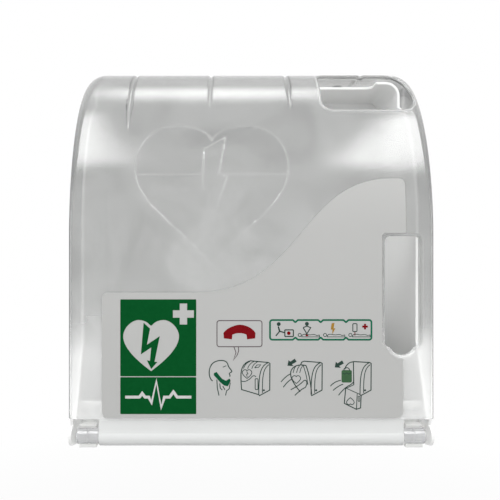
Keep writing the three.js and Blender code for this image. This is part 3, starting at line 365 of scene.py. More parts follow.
def lines(*runs):
    """Grid lines from runs of (first, last, step), with near doubles dropped."""
    nearest = 0.45
    places = sorted(x for first, last, step in runs for x in np.arange(first, last + step / 2, step))
    kept = places[:1]
    for place in places[1:]:
        if place - kept[-1] > nearest:
            kept.append(place)
    return np.array(kept)


rim_bulge = 0.9
heart_lines = lines((heart_middle - 86, heart_middle + 86, 1.35))
right_lines = lines((48, 130, 5), (45.4, 48.7, 0.8), (131, 139, 0.8), (144, 160, 4), (164, 172, 4))
left_lines = lines((-160, -141, 4.5), (-139, -131, 0.8), (-172, -164, 4))
turn_lines = np.arange(web_end + 2.5, corner_end + 1, 2.5)
skirt_lines = np.linspace(corner_end + 6, skirt_end - rim_bulge, 6)
side_lines = np.concatenate([turn_lines, skirt_lines])
columns = np.concatenate([-side_lines[::-1], left_lines, heart_lines, right_lines, side_lines])
rows = lines((rim_bulge, 156, 7.75), (158, 322, 1.35), (324, 448, 3.1), (452, profile_end - rim_bulge, 8))


# Openings moulded in with the cover: a finger slot through the bend, drawn square to the chord between two
# turns of the curve, and a hand opening in the face with a collar and a scalloped foot.
def round_corners(corners, steps=7):
    """Outline through corners given as (across, up, radius), each rounded with an arc."""
    points = []
    for i, (across, up, radius) in enumerate(corners):
        corner = np.array((across, up), float)
        last = np.array(corners[i - 1][:2], float) - corner
        after = np.array(corners[(i + 1) % len(corners)][:2], float) - corner
        last /= np.linalg.norm(last)
        after /= np.linalg.norm(after)
        half = math.acos(np.clip(last @ after, -1, 1)) / 2
        centre = corner + (last + after) / np.linalg.norm(last + after) * radius / math.sin(half)
        start = corner + last * radius / math.tan(half) - centre
        end = corner + after * radius / math.tan(half) - centre
        sweep = math.atan2(start[0] * end[1] - start[1] * end[0], start @ end)
        first = math.atan2(start[1], start[0])
        for step in range(steps + 1):
            angle = first + sweep * step / steps
            points.append(centre + radius * np.array((math.cos(angle), math.sin(angle))))
    return np.array(points)


def spaced(outline, gap):
    """A closed outline with points added so that none is further than gap from the next."""
    points = []
    for a, b in zip(outline, np.roll(outline, -1, 0)):
        count = max(1, math.ceil(np.linalg.norm(b - a) / gap))
        points += [a + (b - a) * step / count for step in range(count)]
    return np.array(points)


chord_turns = np.array((0.49, 0.82)) * math.pi / 2
chord_s = curve_start + np.interp(chord_turns, turns, arc_length)
chord_y, chord_z, _, _ = profile(chord_s)
chord_run = np.array((chord_y[1] - chord_y[0], chord_z[1] - chord_z[0]))
chord_length = np.linalg.norm(chord_run)
chord_run /= chord_length


def q_of(x, s):
    """The q that lies at x on the shell's web or right-hand corner, at lengths s."""
    radius = corner_least + corner_growth * profile(s)[3]
    web = half_width - radius
    beyond = web_even + (x - web_even) / (web - web_even) * (web_end - web_even)
    turn = np.arcsin(np.clip((x - web) / radius, 0, 1))
    on_corner = web_end + turn / (math.pi / 2) * (corner_end - web_end)
    return np.where(x <= web_even, x, np.where(x <= web, beyond, on_corner))


def slot_on_skin(grow):
    """The slot's outline, grown on every side, as q and s on the shell."""
    head = chord_length + grow
    left, right = 81.5 - grow, 184.5 + grow
    corners = [(left, -grow, 12 + grow), (right, -grow, 14 + grow), (right, 20, 40)]
    corners += [(179.5 + grow, 44, 40), (167.5 + grow, head, 10 + grow), (left, head, 10 + grow)]
    outline = spaced(round_corners(corners), 3)
    margin, halvings = 30.0, 30
    low = np.full(len(outline), chord_s[0] - margin)
    high = np.full(len(outline), chord_s[1] + margin)
    for _ in range(halvings):
        s = (low + high) / 2
        q = q_of(outline[:, 0], s)
        place = skin(q, s, True)
        climb = (place[:, 1] - chord_y[0]) * chord_run[0] + (place[:, 2] - chord_z[0]) * chord_run[1]
        low = np.where(climb < outline[:, 1], s, low)
        high = np.where(climb < outline[:, 1], high, s)
    return np.stack([q, s], -1)


def circle(across, up, radius, sides=64, first=0.0, last=2 * math.pi):
    """Points round a circle, or along an arc of it."""
    if abs(last - first - 2 * math.pi) < 1e-6:
        angles = np.linspace(first, last, sides + 1)[:-1]
    else:
        angles = np.linspace(first, last, sides)
    return np.stack([across + radius * np.cos(angles), up + radius * np.sin(angles)], -1)


def hand_outline(grow):
    """The hand opening's outline in (x, z), grown on every side: straight sides and a scalloped foot."""
    middle, left, right, head, shoulder = 160.9, 141.6 - grow, 180.2 + grow, 13.5 + grow, -99
    corner = 6 + grow
    dip = 14.8 + grow
    reach = math.asin(min((6.5 + grow) / dip, 1))
    quarter = math.pi / 2
    arcs = [(right - corner, head - corner, corner, 0, quarter)]
    arcs += [(left + corner, head - corner, corner, quarter, math.pi)]
    arcs += [(left + corner, shoulder, corner, math.pi, math.pi * 1.5)]
    arcs += [(middle, -98.5, dip, math.pi + reach, math.pi * 2 - reach)]
    arcs += [(right - corner, shoulder, corner, math.pi * 1.5, math.pi * 2)]
    points = []
    for x, z, radius, start, end in arcs:
        steps = 16 if radius == dip else 8
        for angle in np.linspace(start, end, steps + 1):
            points.append((x + radius * math.cos(angle), z + radius * math.sin(angle)))
    return np.array(points)


# Shell of the cover, put together from its outer and inner surfaces, patches round the openings and the
# rounded edges that join the two surfaces, all in one mesh.
class Faces:
    """Points and faces of a mesh as it grows, in millimetres, with a normal where one is known."""

    def __init__(self):
        self.points = []
        self.normals = []
        self.faces = []
        self.lit = {}

    def place(self, points, normals=None, lit=None):
        """Adds points and returns their numbers."""
        first = len(self.points)
        if lit is not None:
            self.lit.update(enumerate(lit, first))
        self.points += [tuple(p) for p in points]
        self.normals += [tuple(n) for n in normals] if normals is not None else [(0, 0, 0)] * len(points)
        return np.arange(first, len(self.points))

    def strip(self, first, second, closed=True):
        """Quads between two rows of points."""
        for i in range(len(first) if closed else len(first) - 1):
            j = (i + 1) % len(first)
            self.faces.append((first[i], first[j], second[j], second[i]))

    def mesh(self, name):
        made = bpy.data.meshes.new(name)
        made.from_pydata([Vector(p) * mm for p in self.points], [], [tuple(map(int, f)) for f in self.faces])
        made.polygons.foreach_set("use_smooth", np.ones(len(made.polygons), bool))
        if any(n != (0, 0, 0) for n in self.normals):
            made.normals_split_custom_set_from_vertices(self.normals)
        # The points' painted edge light and shade go into an attribute that the clear finish reads.
        if self.lit:
            edges = made.attributes.new("painted_edge_light", "FLOAT", "POINT")
            edges.data.foreach_set("value", [self.lit.get(i, 0) for i in range(len(self.points))])
        made.validate()
        made.update()
        return made


def patch_faces(points, loops, holes):
    """Triangles over flat points, within the first loop and outside the holes. Loops are index lists."""
    edges = [(loop[i], loop[(i + 1) % len(loop)]) for loop in loops for i in range(len(loop))]
    flat = [Vector(p) for p in points]
    _, _, faces, origins, _, _ = delaunay_2d_cdt(flat, edges, [], 0, 1e-6)
    kept = []
    for face in faces:
        corners = [origins[v][0] for v in face]
        middle = np.mean([points[c] for c in corners], 0)
        if not any(inside(hole, middle[0], middle[1]) for hole in holes):
            kept.append(corners)
    return kept


shell = Faces()
slot_bead = slot_on_skin(rim_bulge)
slot_rings = [slot_on_skin(rim_bulge + grow) for grow in (0.6, 1.2, 1.9, 2.6, 3.2, 3.8)]
hand_rings = [(rim_bulge + 0.1, 0), (0.6, 0.12), (0.25, 0.4), (0.04, 0.8), (0, 1.2), (0, 4), (0, 6.9)]
hand_rings += [(0.32, 7.68), (1.1, 8), (1.88, 7.68), (2.2, 6.9), (2.2, 4.3), (2.35, 3.65), (2.8, 3.2)]
hand_rings += [(3.5, wall)]
least_gap = 1.1


def shell_surface(side):
    """Places one surface of the shell, outer or inner, and returns its rim and its two hole loops."""
    grid_q, grid_s = np.meshgrid(columns, rows, indexing="ij")
    plain = side < 0
    lowered = 0 if side > 0 else wall

    def on_skin(q, s):
        normals = skin_normals(q, s, plain)
        places = skin(q, s, plain) - normals * lowered
        # Painted edge light and shade for the outer surface's points.
        lit = None if plain else painted_edge_light(q, s).reshape(-1)
        return shell.place(places.reshape(-1, 3), side * normals.reshape(-1, 3), lit)

    ids = on_skin(grid_q, grid_s).reshape(grid_q.shape)
    hand = hand_outline(hand_rings[0 if side > 0 else -1][0])
    hand_s = hand[:, 1] - face_low
    holes = [(slot_bead, slot_rings), (np.stack([q_of(hand[:, 0], hand_s), hand_s], -1), [])]
    taken = np.zeros((len(columns) - 1, len(rows) - 1), bool)
    loops = []
    for hole, rings in holes:
        outermost = rings[-1] if rings else hole
        (low_q, low_s), (high_q, high_s) = outermost.min(0) - (2, 4), outermost.max(0) + (2, 4)
        first, last = np.searchsorted(columns, (low_q, high_q)) - (1, 0)
        low, high = np.searchsorted(rows, (low_s, high_s)) - (1, 0)
        taken[first:last, low:high] = True
        loop_ids = on_skin(*hole.T)
        edge = [(i, low) for i in range(first, last)] + [(last, j) for j in range(low, high)]
        edge += [(i, high) for i in range(last, first, -1)] + [(first, j) for j in range(high, low, -1)]
        points = [(columns[i], rows[j]) for i, j in edge]
        known = [ids[i, j] for i, j in edge]
        for i in range(first + 1, last):
            for j in range(low + 1, high):
                spot = (columns[i], rows[j])
                if distance(outermost, *spot) > least_gap and not inside(outermost, *spot):
                    points.append(spot)
                    known.append(ids[i, j])
        fixed = [list(range(len(edge)))]
        for ring in rings:
            fixed.append(list(range(len(points), len(points) + len(ring))))
            points += [tuple(p) for p in ring]
            known += list(on_skin(*ring.T))
        fixed.append(list(range(len(points), len(points) + len(hole))))
        for face in patch_faces(points + [tuple(p) for p in hole], fixed, [hole]):
            corners = [known[c] if c < len(known) else loop_ids[c - len(known)] for c in face]
            shell.faces.append(corners if side > 0 else corners[::-1])
        loops.append(loop_ids)
    for i, j in zip(*np.nonzero(~taken)):
        quad = (ids[i, j], ids[i + 1, j], ids[i + 1, j + 1], ids[i, j + 1])
        shell.faces.append(quad if side > 0 else quad[::-1])
    rim = np.concatenate([ids[:-1, 0], ids[-1, :-1], ids[:0:-1, -1], ids[0, :0:-1]])
    return rim, loops


def rounded_edge(outer, inner, outwards):
    """Closes the wall between two loops with a half-round edge that swells towards outwards."""
    a = np.array([shell.points[i] for i in outer])
    b = np.array([shell.points[i] for i in inner])
    along = np.roll(a, -1, 0) - np.roll(a, 1, 0)
    swell = np.cross(along, a - b)
    swell *= outwards / np.maximum(np.linalg.norm(swell, axis=1, keepdims=True), 1e-9)
    last = outer
    for angle in np.linspace(0, math.pi, 8)[1:-1]:
        ring = (a + b) / 2 + (a - b) / 2 * math.cos(angle) + swell * rim_bulge * math.sin(angle)
        ids = shell.place(ring)
        shell.strip(ids, last) if outwards > 0 else shell.strip(last, ids)
        last = ids
    shell.strip(inner, last) if outwards > 0 else shell.strip(last, inner)


outer_rim, (outer_slot, outer_hand) = shell_surface(1)
inner_rim, (inner_slot, inner_hand) = shell_surface(-1)
rounded_edge(outer_rim, inner_rim, 1)
rounded_edge(outer_slot, inner_slot, -1)
last_ring = outer_hand
for grow, depth in hand_rings[1:-1]:
    ids = shell.place([(x, front + depth, z) for x, z in hand_outline(grow)])
    shell.strip(last_ring, ids)
    last_ring = ids
shell.strip(last_ring, inner_hand)


# Finish of the clear mouldings: polycarbonate with a slight haze and painted cloudy reflections. Painted
# light makes its tone lighter at the foot and low on the face, painted shade darkens it higher on the face,
# over the crown and under the lower edge, and its outline shows as a thin painted dark line, with painted
# highlights and shade along the relief's edges.
def clear_finish(name, painted_foot_light_tone, tone, through, rough):
    """Clear plastic whose tone turns from a foot tone, painted light where it is the lighter, to tone between
    60 and 130 mm up the face.
    """
    made, gloss, where = new_finish(name, Transmission_Weight=through, IOR=1.56)
    height = where.add("ShaderNodeSeparateXYZ", {}, {0: where}, output=2)
    # Painted light: below 60 mm up the face the tone turns to the lighter foot tone.
    upper = height.ramp(-0.12, -0.05)
    # Painted shade under the lower edge: up to about a third darker towards the barrel's underside.
    painted_under_shade = height.ramp(-0.2045, -0.2105, end=0.8)
    # Painted shade over the crown: up to about a fifth darker towards the top.
    crown = height.ramp(0.17, 0.208, end=0.55)
    # Painted reflections: cloudy patches up to about an eighth darker over the upper part.
    painted_reflection_clouds = where.noise(11, 3, Distortion=1.2).ramp(0.4, 0.66, end=0.8, kind="LINEAR")
    shaded = upper.mix(painted_foot_light_tone, tone)
    for amount, share in ((painted_under_shade, 0.55), (crown, 0.6), (painted_reflection_clouds * upper, 0.83)):
        shaded = amount.mix(shaded, [c * share for c in tone])
    # Painted highlight and shade along the relief's edges, from the attribute on the shell's points.
    edges = where.add("ShaderNodeAttribute", {"attribute_name": "painted_edge_light"}, output=2)
    # Painted light and shade by height: up to 15 % lighter low on the face and 6 % darker higher up, above
    # the foot only.
    lift = height.ramp(-0.04, 0.09, 0.15, -0.06, "LINEAR")
    light = 1 + 0.24 * edges + lift * upper
    shaded = where.add("ShaderNodeVectorMath", {"operation": "SCALE"}, {"Vector": shaded, "Scale": light})
    shaded.into(gloss, "Base Color")
    (rough + where.noise(14, 5, Roughness=0.62) * 0.06).into(gloss, "Roughness")
    where.noise(9, 1).bump(0.08, 0.0015).into(gloss, "Normal")
    # Painted shade: where the sides turn back, the surface is mixed towards a dark opaque finish, a painted
    # dark outline.
    painted_dark_outline = {"Base Color": (0.13, 0.13, 0.145, 1), "Roughness": 0.4, "Specular IOR Level": 0.15}
    seam = where.add("ShaderNodeBsdfPrincipled", {}, painted_dark_outline)
    dark = (-0.3 + -1 * edges).larger(0) * 0.7
    body = dark.between(Shade(made.node_tree, gloss.outputs["BSDF"]), seam)
    open_air = where.add("ShaderNodeBsdfTransparent", {}, {"Color": white})
    surface = where.ray("Shadow", "Diffuse").between(body, open_air)
    surface.into(made.node_tree.nodes["Material Output"], "Surface")
    return made


def stand(name, mesh, finish, body, slot, *nodes):
    """Sets a mesh in the scene as a piece that rides on a body and may stand for CAD nodes."""
    piece = bpy.data.objects.new(name, mesh)
    bpy.context.collection.objects.link(piece)
    mesh.materials.clear()
    mesh.materials.append(finish)
    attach(piece, body)
    if nodes:
        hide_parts(*nodes)
    return piece


# The cover's near-white foot tone is painted light at its foot.
clear = clear_finish("clear_polycarbonate", (0.985, 0.99, 0.985), (0.538, 0.544, 0.538), 0.7, 0.12)
stand("clear_cover_shell", shell.mesh("clear_cover_shell"), clear, "cover", "clear_plastic", "clear_cover")


# Foot of the same moulding: a sill along the lower edge, and a leaf that runs down into the hollow barrel
# of the hinge. All three are one section drawn across the hinge and run along it.
def triangles(*loops):
    """Triangles over flat loops, the first round the outside, as numbers of their points in one row."""
    return tessellate_polygon([[Vector((*p, 0)) for p in loop] for loop in loops])


def face_outwards(mesh):
    solid = bmesh.new()
    solid.from_mesh(mesh)
    bmesh.ops.recalc_face_normals(solid, faces=solid.faces)
    solid.to_mesh(mesh)
    solid.free()
    return mesh


def run_along(name, loops, left, right):
    """Solid run along X from a section of loops in (y, z): an outline, and a hole where there is one."""
    shape = Faces()
    ends = [[shape.place([(x, y, z) for y, z in loop]) for loop in loops] for x in (left, right)]
    for (low, high), turned_in in zip(zip(*ends), (False, True)):
        shape.strip(high, low) if turned_in else shape.strip(low, high)
    flat = triangles(*loops)
    for end, turned_in in zip(ends, (False, True)):
        ids = np.concatenate(end)
        for a, b, c in flat:
            shape.faces.append((ids[a], ids[b], ids[c]) if turned_in else (ids[c], ids[b], ids[a]))
    return face_outwards(shape.mesh(name))


def round_edges(piece, width, steps=2, angle=30):
    """Rounds the edges of a piece that turn by more than an angle, and shades its flats evenly."""
    bevel = piece.modifiers.new("rounded_edges", "BEVEL")
    bevel.width = width * mm
    bevel.segments = steps
    bevel.limit_method = "ANGLE"
    bevel.angle_limit = math.radians(angle)
    bevel.use_clamp_overlap = False
    even = piece.modifiers.new("even_shading", "WEIGHTED_NORMAL")
    even.keep_sharp = False
    even.weight = 100


hinge_y, hinge_z = -190.5, -201
barrel_radius, bore_radius, barrel_end = 10.5, 7.5, 162
leaf_front, leaf_rear, leaf_top = -199.6, -196.6, -179.3
turn_front, turn_rear = (math.acos((y - hinge_y) / barrel_radius) for y in (leaf_front, leaf_rear))
around = circle(hinge_y, hinge_z, barrel_radius, 72, turn_front, turn_rear + 2 * math.pi)
leaf = np.concatenate([around, [(leaf_rear, leaf_top), (leaf_front, leaf_top)]])
bore = circle(hinge_y, hinge_z, bore_radius, 64)
# The barrel's underside takes the clear finish's painted shade under the lower edge.
frosted = clear_finish("clear_foot", (0.8, 0.81, 0.805), (0.8, 0.81, 0.805), 0.42, 0.17)
leaf_mesh = run_along("cover_hinge_leaf", [leaf, bore], -barrel_end, barrel_end)
hinge_leaf = stand("cover_hinge_leaf", leaf_mesh, frosted, "cover", "clear_plastic")
round_edges(hinge_leaf, 0.5, 2, 40)
sill = round_corners([(-199.4, -181, 0.5), (-193, -181, 1), (-193, -178, 1), (-199.4, -178, 0.5)], 4)
stand("cover_sill", run_along("cover_sill", [sill], -185, 185), frosted, "cover", "clear_plastic")


# Hinge pins: turned from the same clear plastic and pressed into the barrel's ends by a spigot. Each has a
# groove to snap into its clip and a rounded nose.
def turned(name, outline, place, sides=64, axis="x"):
    """Solid of revolution. Its outline runs as (radius, along) from axis to axis."""
    shape = Faces()
    rings = []
    for radius, along in outline:
        ring = []
        for side in range(1 if radius == 0 else sides):
            angle = 2 * math.pi * side / sides
            a, b = radius * math.cos(angle), radius * math.sin(angle)
            spot = {"x": (along, a, b), "y": (a, along, b), "z": (a, b, along)}[axis]
            ring.append(tuple(np.add(spot, place)))
        rings.append(shape.place(ring))
    for low, high in zip(rings, rings[1:]):
        for i in range(sides):
            j = (i + 1) % sides
            face = [low[i % len(low)], low[j % len(low)], high[j % len(high)], high[i % len(high)]]
            shape.faces.append([v for k, v in enumerate(face) if v != face[k - 1]])
    return face_outwards(shape.mesh(name))


pin = [(0, 144), (6.6, 144), (7.2, 144.6), (7.2, 161.9), (7.6, 162.3), (8.2, 162.4), (8.75, 163)]
pin += [(8.75, 172.5), (8.3, 173), (8.3, 174.4), (8.75, 174.9), (8.75, 184.9), (8.5, 185.9), (7.8, 186.6)]
pin += [(6.6, 187), (3.4, 187), (3, 186.7), (2.7, 184.5), (0, 184.2)]
pin_clear = clear_finish("clear_pin", (0.74, 0.745, 0.755), (0.74, 0.745, 0.755), 0.7, 0.08)
for side, name in ((1, "pivot_right"), (-1, "pivot_left")):
    mesh = turned(name + "_pin", [(radius, side * along) for radius, along in pin], (0, hinge_y, hinge_z))
    peg = stand(name + "_pin", mesh, pin_clear, "cover", "clear_plastic", name)
    round_edges(peg, 0.15, 2, 40)


# Instruction label: printed vinyl film stuck on the outside of the cover. It follows the curve and is cut
# in a wave along its upper edge and round the hand opening.
def s_of(z):
    """Length up the profile at height z."""
    climb = z - face_low
    turn = np.arcsin(np.clip((climb - curve_start) / curve_height, 0, 1))
    return np.where(climb < curve_start, climb, curve_start + np.interp(turn, turns, arc_length))


wave = bezier([(150, 74.8), (49, 74.8), (57, -46.4), (-60, -46.4)], 28)
film_corners = [
    circle(-152, -173, 6, 8, math.pi, math.pi * 1.5),
    circle(154.5, -173, 6, 8, -math.pi / 2, 0),
    circle(160.9, -98.5, 18, 12, -1.593, -2.4),
    [(138.4, -99), (138.4, 14), (141, 16.7), (163.5, 16.7)],
    circle(157.5, 68.8, 6, 8, 0, math.pi / 2),
    wave,
    circle(-152, -52.4, 6, 8, math.pi / 2, math.pi),
]
film_outline = np.concatenate(film_corners)
film_outline = film_outline[np.linalg.norm(film_outline - np.roll(film_outline, 1, 0), axis=1) > 0.05]
film_outline = spaced(film_outline, 6)
film_x, film_z = np.meshgrid(np.arange(-150, 164, 9.0), np.arange(-172, 75, 6.0))
film_spots = np.stack([film_x.ravel(), film_z.ravel()], -1)
roomy = inside(film_outline, *film_spots.T) & (distance(film_outline, *film_spots.T) > 2)
film_flat = np.concatenate([film_outline, film_spots[roomy]])
film_back, film_front = 0.3, 0.58
film = Faces()
film_s = s_of(film_flat[:, 1])
film_q = q_of(film_flat[:, 0], film_s)
film_out = skin_normals(film_q, film_s, True)
film_skin = skin(film_q, film_s, True)
front_ids = film.place(film_skin + film_out * film_front, film_out)
back_ids = film.place(film_skin + film_out * film_back, -film_out)
edge_loop = list(range(len(film_outline)))
for face in patch_faces([tuple(p) for p in film_flat], [edge_loop], []):
    middle = np.mean([film_flat[c] for c in face], 0)
    if inside(film_outline, middle[0], middle[1]):
        film.faces += [[front_ids[c] for c in face], [back_ids[c] for c in face][::-1]]
film.strip(back_ids[: len(edge_loop)], front_ids[: len(edge_loop)])

vinyl, film_gloss, on_film = new_finish("label_vinyl", Specular_IOR_Level=0.1)
cloud = on_film.noise(7, 3)
cloud.mix((0.463, 0.465, 0.456), (0.495, 0.497, 0.488)).into(film_gloss, "Base Color")
(0.46 + cloud * 0.14).into(film_gloss, "Roughness")
on_film.noise(1600, 2).bump(0.12, 0.0002).into(film_gloss, "Normal")
stand("label_film", film.mesh("label_film"), vinyl, "cover", "label_film", "instruction_label")


# Printing on the film: a green first-aid panel with a heart, a call-for-help bubble, a strip of four small
# steps and four line drawings. All of it is flat ink, a few hundredths of a millimetre proud of the film.
inks = {}
ink_lift = 0.62


def ink(colour):
    """The printed faces of one colour."""
    return inks.setdefault(colour, Faces())


def in_frame(points, place, size=1.0):
    """Points of a drawing, set at a place on the face and scaled, as (x, z) in millimetres."""
    return [(place[0] + size * a, place[1] + size * b) for a, b in points]


def fill(colour, outline, *holes, lift=ink_lift):
    """An area of ink within an outline and outside the holes."""
    corners = [p for loop in (outline, *holes) for p in loop]
    ids = ink(colour).place([(x, front - lift, z) for x, z in corners])
    for a, b, c in triangles(outline, *holes):
        (ax, az), (bx, bz), (cx, cz) = corners[a], corners[b], corners[c]
        area = (bx - ax) * (cz - az) - (bz - az) * (cx - ax)
        if abs(area) > 1e-7:
            ink(colour).faces.append((ids[a], ids[b], ids[c]) if area > 0 else (ids[a], ids[c], ids[b]))


def draw(colour, points, width, closed=False, lift=ink_lift):
    """A line of ink of the given width along points, with mitred corners."""
    path = np.array(points, float)
    before = np.roll(path, 1, 0) if closed else np.concatenate([path[:1] * 2 - path[1:2], path[:-1]])
    after = np.roll(path, -1, 0) if closed else np.concatenate([path[1:], path[-1:] * 2 - path[-2:-1]])
    came = (path - before) / np.linalg.norm(path - before, axis=1, keepdims=True)
    goes = (after - path) / np.linalg.norm(after - path, axis=1, keepdims=True)
    along = came + goes
    along /= np.maximum(np.linalg.norm(along, axis=1, keepdims=True), 1e-6)
    across = np.stack([-along[:, 1], along[:, 0]], -1)
    square = np.maximum(np.sum(across * np.stack([-goes[:, 1], goes[:, 0]], -1), 1, keepdims=True), 0.5)
    reach = across * width / 2 / square
    shape = ink(colour)
    left = shape.place([(x, front - lift, z) for x, z in path + reach])
    right = shape.place([(x, front - lift, z) for x, z in path - reach])
    shape.strip(right, left, closed)


def sketch(place, width, points, closed=False):
    """A dark line of a drawing that is set at a place."""
    draw("dark", in_frame(points, place), width, closed)


def box_outline(left, low, right, high, radius, steps=5):
    """A box with rounded corners."""
    corners = [(left, low), (right, low), (right, high), (left, high)]
    return round_corners([(*corner, radius) for corner in corners], steps)


heart_half = [(0, 0.877), (0.1, 0.95), (0.25, 1), (0.45, 1), (0.7, 1), (1, 0.84), (1, 0.682)]
heart_half += [(1, 0.52), (0.75, 0.3), (0, 0)]
half_outline = bezier(heart_half, 14)
printed_heart = np.concatenate([half_outline[::-1][:-1], half_outline[1:] * (-1, 1)])[:-1]
heart_foot = (-106.0, -129.5)
printed_heart = printed_heart * (29.5, 54) + heart_foot
cross = [(-3.9, -11.1), (3.9, -11.1), (3.9, -3.9), (11.1, -3.9), (11.1, 3.9), (3.9, 3.9)]
cross += [(3.9, 11.1), (-3.9, 11.1), (-3.9, 3.9), (-11.1, 3.9), (-11.1, -3.9), (-3.9, -3.9)]
fill("green", box_outline(-138.6, -135, -58.2, -53.6, 1), printed_heart, in_frame(cross, (-71.8, -69.1)))
spark = [(-7.9, 51.2), (-1.1, 44.9), (-4.4, 27.9), (9.2, 37), (3.7, 9.9), (6.6, 9.6), (0.1, 2.2)]
spark += [(-4.4, 11.4), (-1.2, 10.8), (0.1, 25), (-10.8, 17.6)]
fill("green", in_frame(spark, heart_foot))
fill("green", box_outline(-138.6, -175, -58.2, -135.9, 1))
trace = [(0, 14), (15, 14), (18, 18), (21, 14), (25, 14), (28, 8), (33, 31), (38, 3), (41.5, 14), (47, 14)]
trace += [(51, 19.5), (55, 14), (70, 14)]
draw("pale", in_frame(trace, (-133.4, -171)), 3, lift=0.635)

bubble = box_outline(-36.3, -103.7, 11.3, -76.1, 2.6)
draw("grey", bubble, 1.0, True)
tail = [(-18.4, -103.9), (-17.2, -107), (-16.2, -110), (-19, -118.2), (-14.6, -112), (-13.4, -108)]
tail += [(-13.6, -103.9)]
draw("grey", tail, 0.95)
receiver = bezier([(0, 0), (3, 6), (14, 9), (17, 9), (23, 9), (31, 6), (34, 0)], 12)
handset = np.concatenate([receiver, [(33.6, -5.5), (25, -6.5), (24.4, -1.6)]])
handset = np.concatenate([handset, bezier([(24.4, -1.6), (20, 0.6), (14, 0.6), (9.6, -1.6)], 8)[1:]])
handset = np.concatenate([handset, [(9, -6.5), (0.4, -5.5)]])
fill("red", in_frame(handset, (-29.5, -89.4)))

strip_left, strip_right, strip_top, strip_low, cell_width = 19.8, 127.1, -75.5, -96.3, 26.8
notch, notch_depth = 2.6, 2.5
seams = [strip_left + cell_width * (cell + 1) for cell in range(3)]
strip_outline = [(strip_left, strip_top)]
for seam in seams:
    strip_outline += [(seam - notch, strip_top), (seam, strip_top - notch_depth), (seam + notch, strip_top)]
strip_outline += [(strip_right, strip_top), (strip_right, strip_low)]
for seam in seams[::-1]:
    strip_outline += [(seam + notch, strip_low), (seam, strip_low + notch_depth), (seam - notch, strip_low)]
strip_outline += [(strip_left, strip_low)]
softened_strip = [(x, z, 2.4 if x in (strip_left, strip_right) else 0.9) for x, z in strip_outline]
draw("mint", round_corners(softened_strip, 4), 1.9, True)
lying = bezier([(4.6, 3), (4.6, 6.4), (8, 6.2), (12, 5.2), (15, 4.6), (17, 6.6), (20.6, 4.4)], 6)
lying = np.concatenate([lying, [(23.2, 5), (23.4, 3)]])
cells = [(22 + cell_width * cell, strip_low) for cell in range(4)]
for corner in cells[1:]:
    sketch(corner, 0.75, lying, True)
    sketch(corner, 0.75, circle(2.4, 5, 1.7, 12), True)
sketch(cells[0], 1.3, [(4, 4), (8, 9), (13, 7.5)])
sketch(cells[0], 1.6, [(8, 9), (6.5, 14)])
fill("dark", in_frame(circle(7, 16.5, 2.1, 14), cells[0]))
sketch(cells[0], 1.2, box_outline(13.5, 3.4, 22.5, 10.4, 0.6), True)
fill("red", in_frame(circle(17.6, 6.9, 2, 12), cells[0]))
fill("dark", in_frame(circle(10, 16.8, 2.1, 14), cells[1]))
sketch(cells[1], 1.1, [(6, 12.8), (10, 6.2), (14, 12.8), (10, 14.4), (6, 12.8)])
draw("red", in_frame([(8.6, 4.6), (11.6, 4.6)], cells[1]), 1.7)
small_bolt = [(9.4, 17.4), (12.4, 17.8), (11.5, 12), (13.4, 12.2), (10, 5.6), (10.2, 10.8), (8.4, 10.6)]
fill("yellow", in_frame(small_bolt, cells[2]))
sketch(cells[3], 1, box_outline(5, 8.6, 9.4, 17, 1), True)
draw("red", in_frame([(7.2, 8.4), (7.2, 4.4)], cells[3]), 0.9)
fill("red", in_frame(cross, (120.3, -82.4), 0.27))


# Line drawings under the bubble and the strip: a caller with a handset, the shut cabinet, its cover pulled
# open, and the device lifted out. They are thin dark lines of the same ink.
caller = (-44.8, -156)
nape = [(4, 16), (0, 18), (-1, 27), (2, 32), (4, 36.5), (10, 38.4), (15, 37.6), (19, 37), (20, 34.5)]
nape += [(20.4, 32)]
nose = [(20.4, 32), (21.6, 29.5), (24.4, 27), (24.2, 26), (23.8, 25), (21.6, 25), (21.6, 23.8), (21.6, 22.6)]
nose += [(22.8, 22.4), (22, 20.6)]
sketch(caller, 1.1, np.concatenate([bezier(nape, 8), bezier(nose, 6)[1:]]))
sketch(caller, 0.8, [(14.6, 30.6), (18.4, 32.2)])
held = [(5.3, 24.4), (8.1, 25.7), (10.6, 22.3), (13.8, 18.5), (18, 16.3), (22, 18.9), (23, 16), (20, 10.4)]
held += [(15.9, 11.3), (11.7, 14.9), (7.4, 19.7), (5, 22.3)]
fill("leaf", in_frame(round_corners([(a, b, 0.8) for a, b in held], 3), caller))
for finger in (
    [(8.4, 17.6), (8.8, 9), (10.6, 0.7)],
    [(11.4, 13.4), (12, 8.6), (14.2, 6.4)],
    [(14.6, 10.8), (17, 6.6)],
    [(22.6, 14.4), (21.4, 7.8), (18.6, 5.6), (17.6, 0.7)],
):
    sketch(caller, 1.0, finger)

cabinet_side = [(29, 35.6), (30.6, 34.6), (30.4, 6.4), (19.6, 0.6), (18.8, 1.6)]
small_heart = (printed_heart - heart_foot) * 0.17


def small_cabinet(at, face):
    """The cabinet seen from its front right: the line of its face or mouth, its side and its rounded edge."""
    sketch(at, 1.1, face)
    sketch(at, 1.1, cabinet_side)
    sketch(at, 1.0, bezier([(18.8, 1.6), (18.8, 22), (20, 32), (29, 35.6)], 9))
    sketch(at, 0.9, bezier([(22.6, 3.4), (22.6, 22), (23.4, 29), (29.6, 33.4)], 9))
    fill("dark", in_frame(circle(24.2, 6.2, 1.1, 10), at))


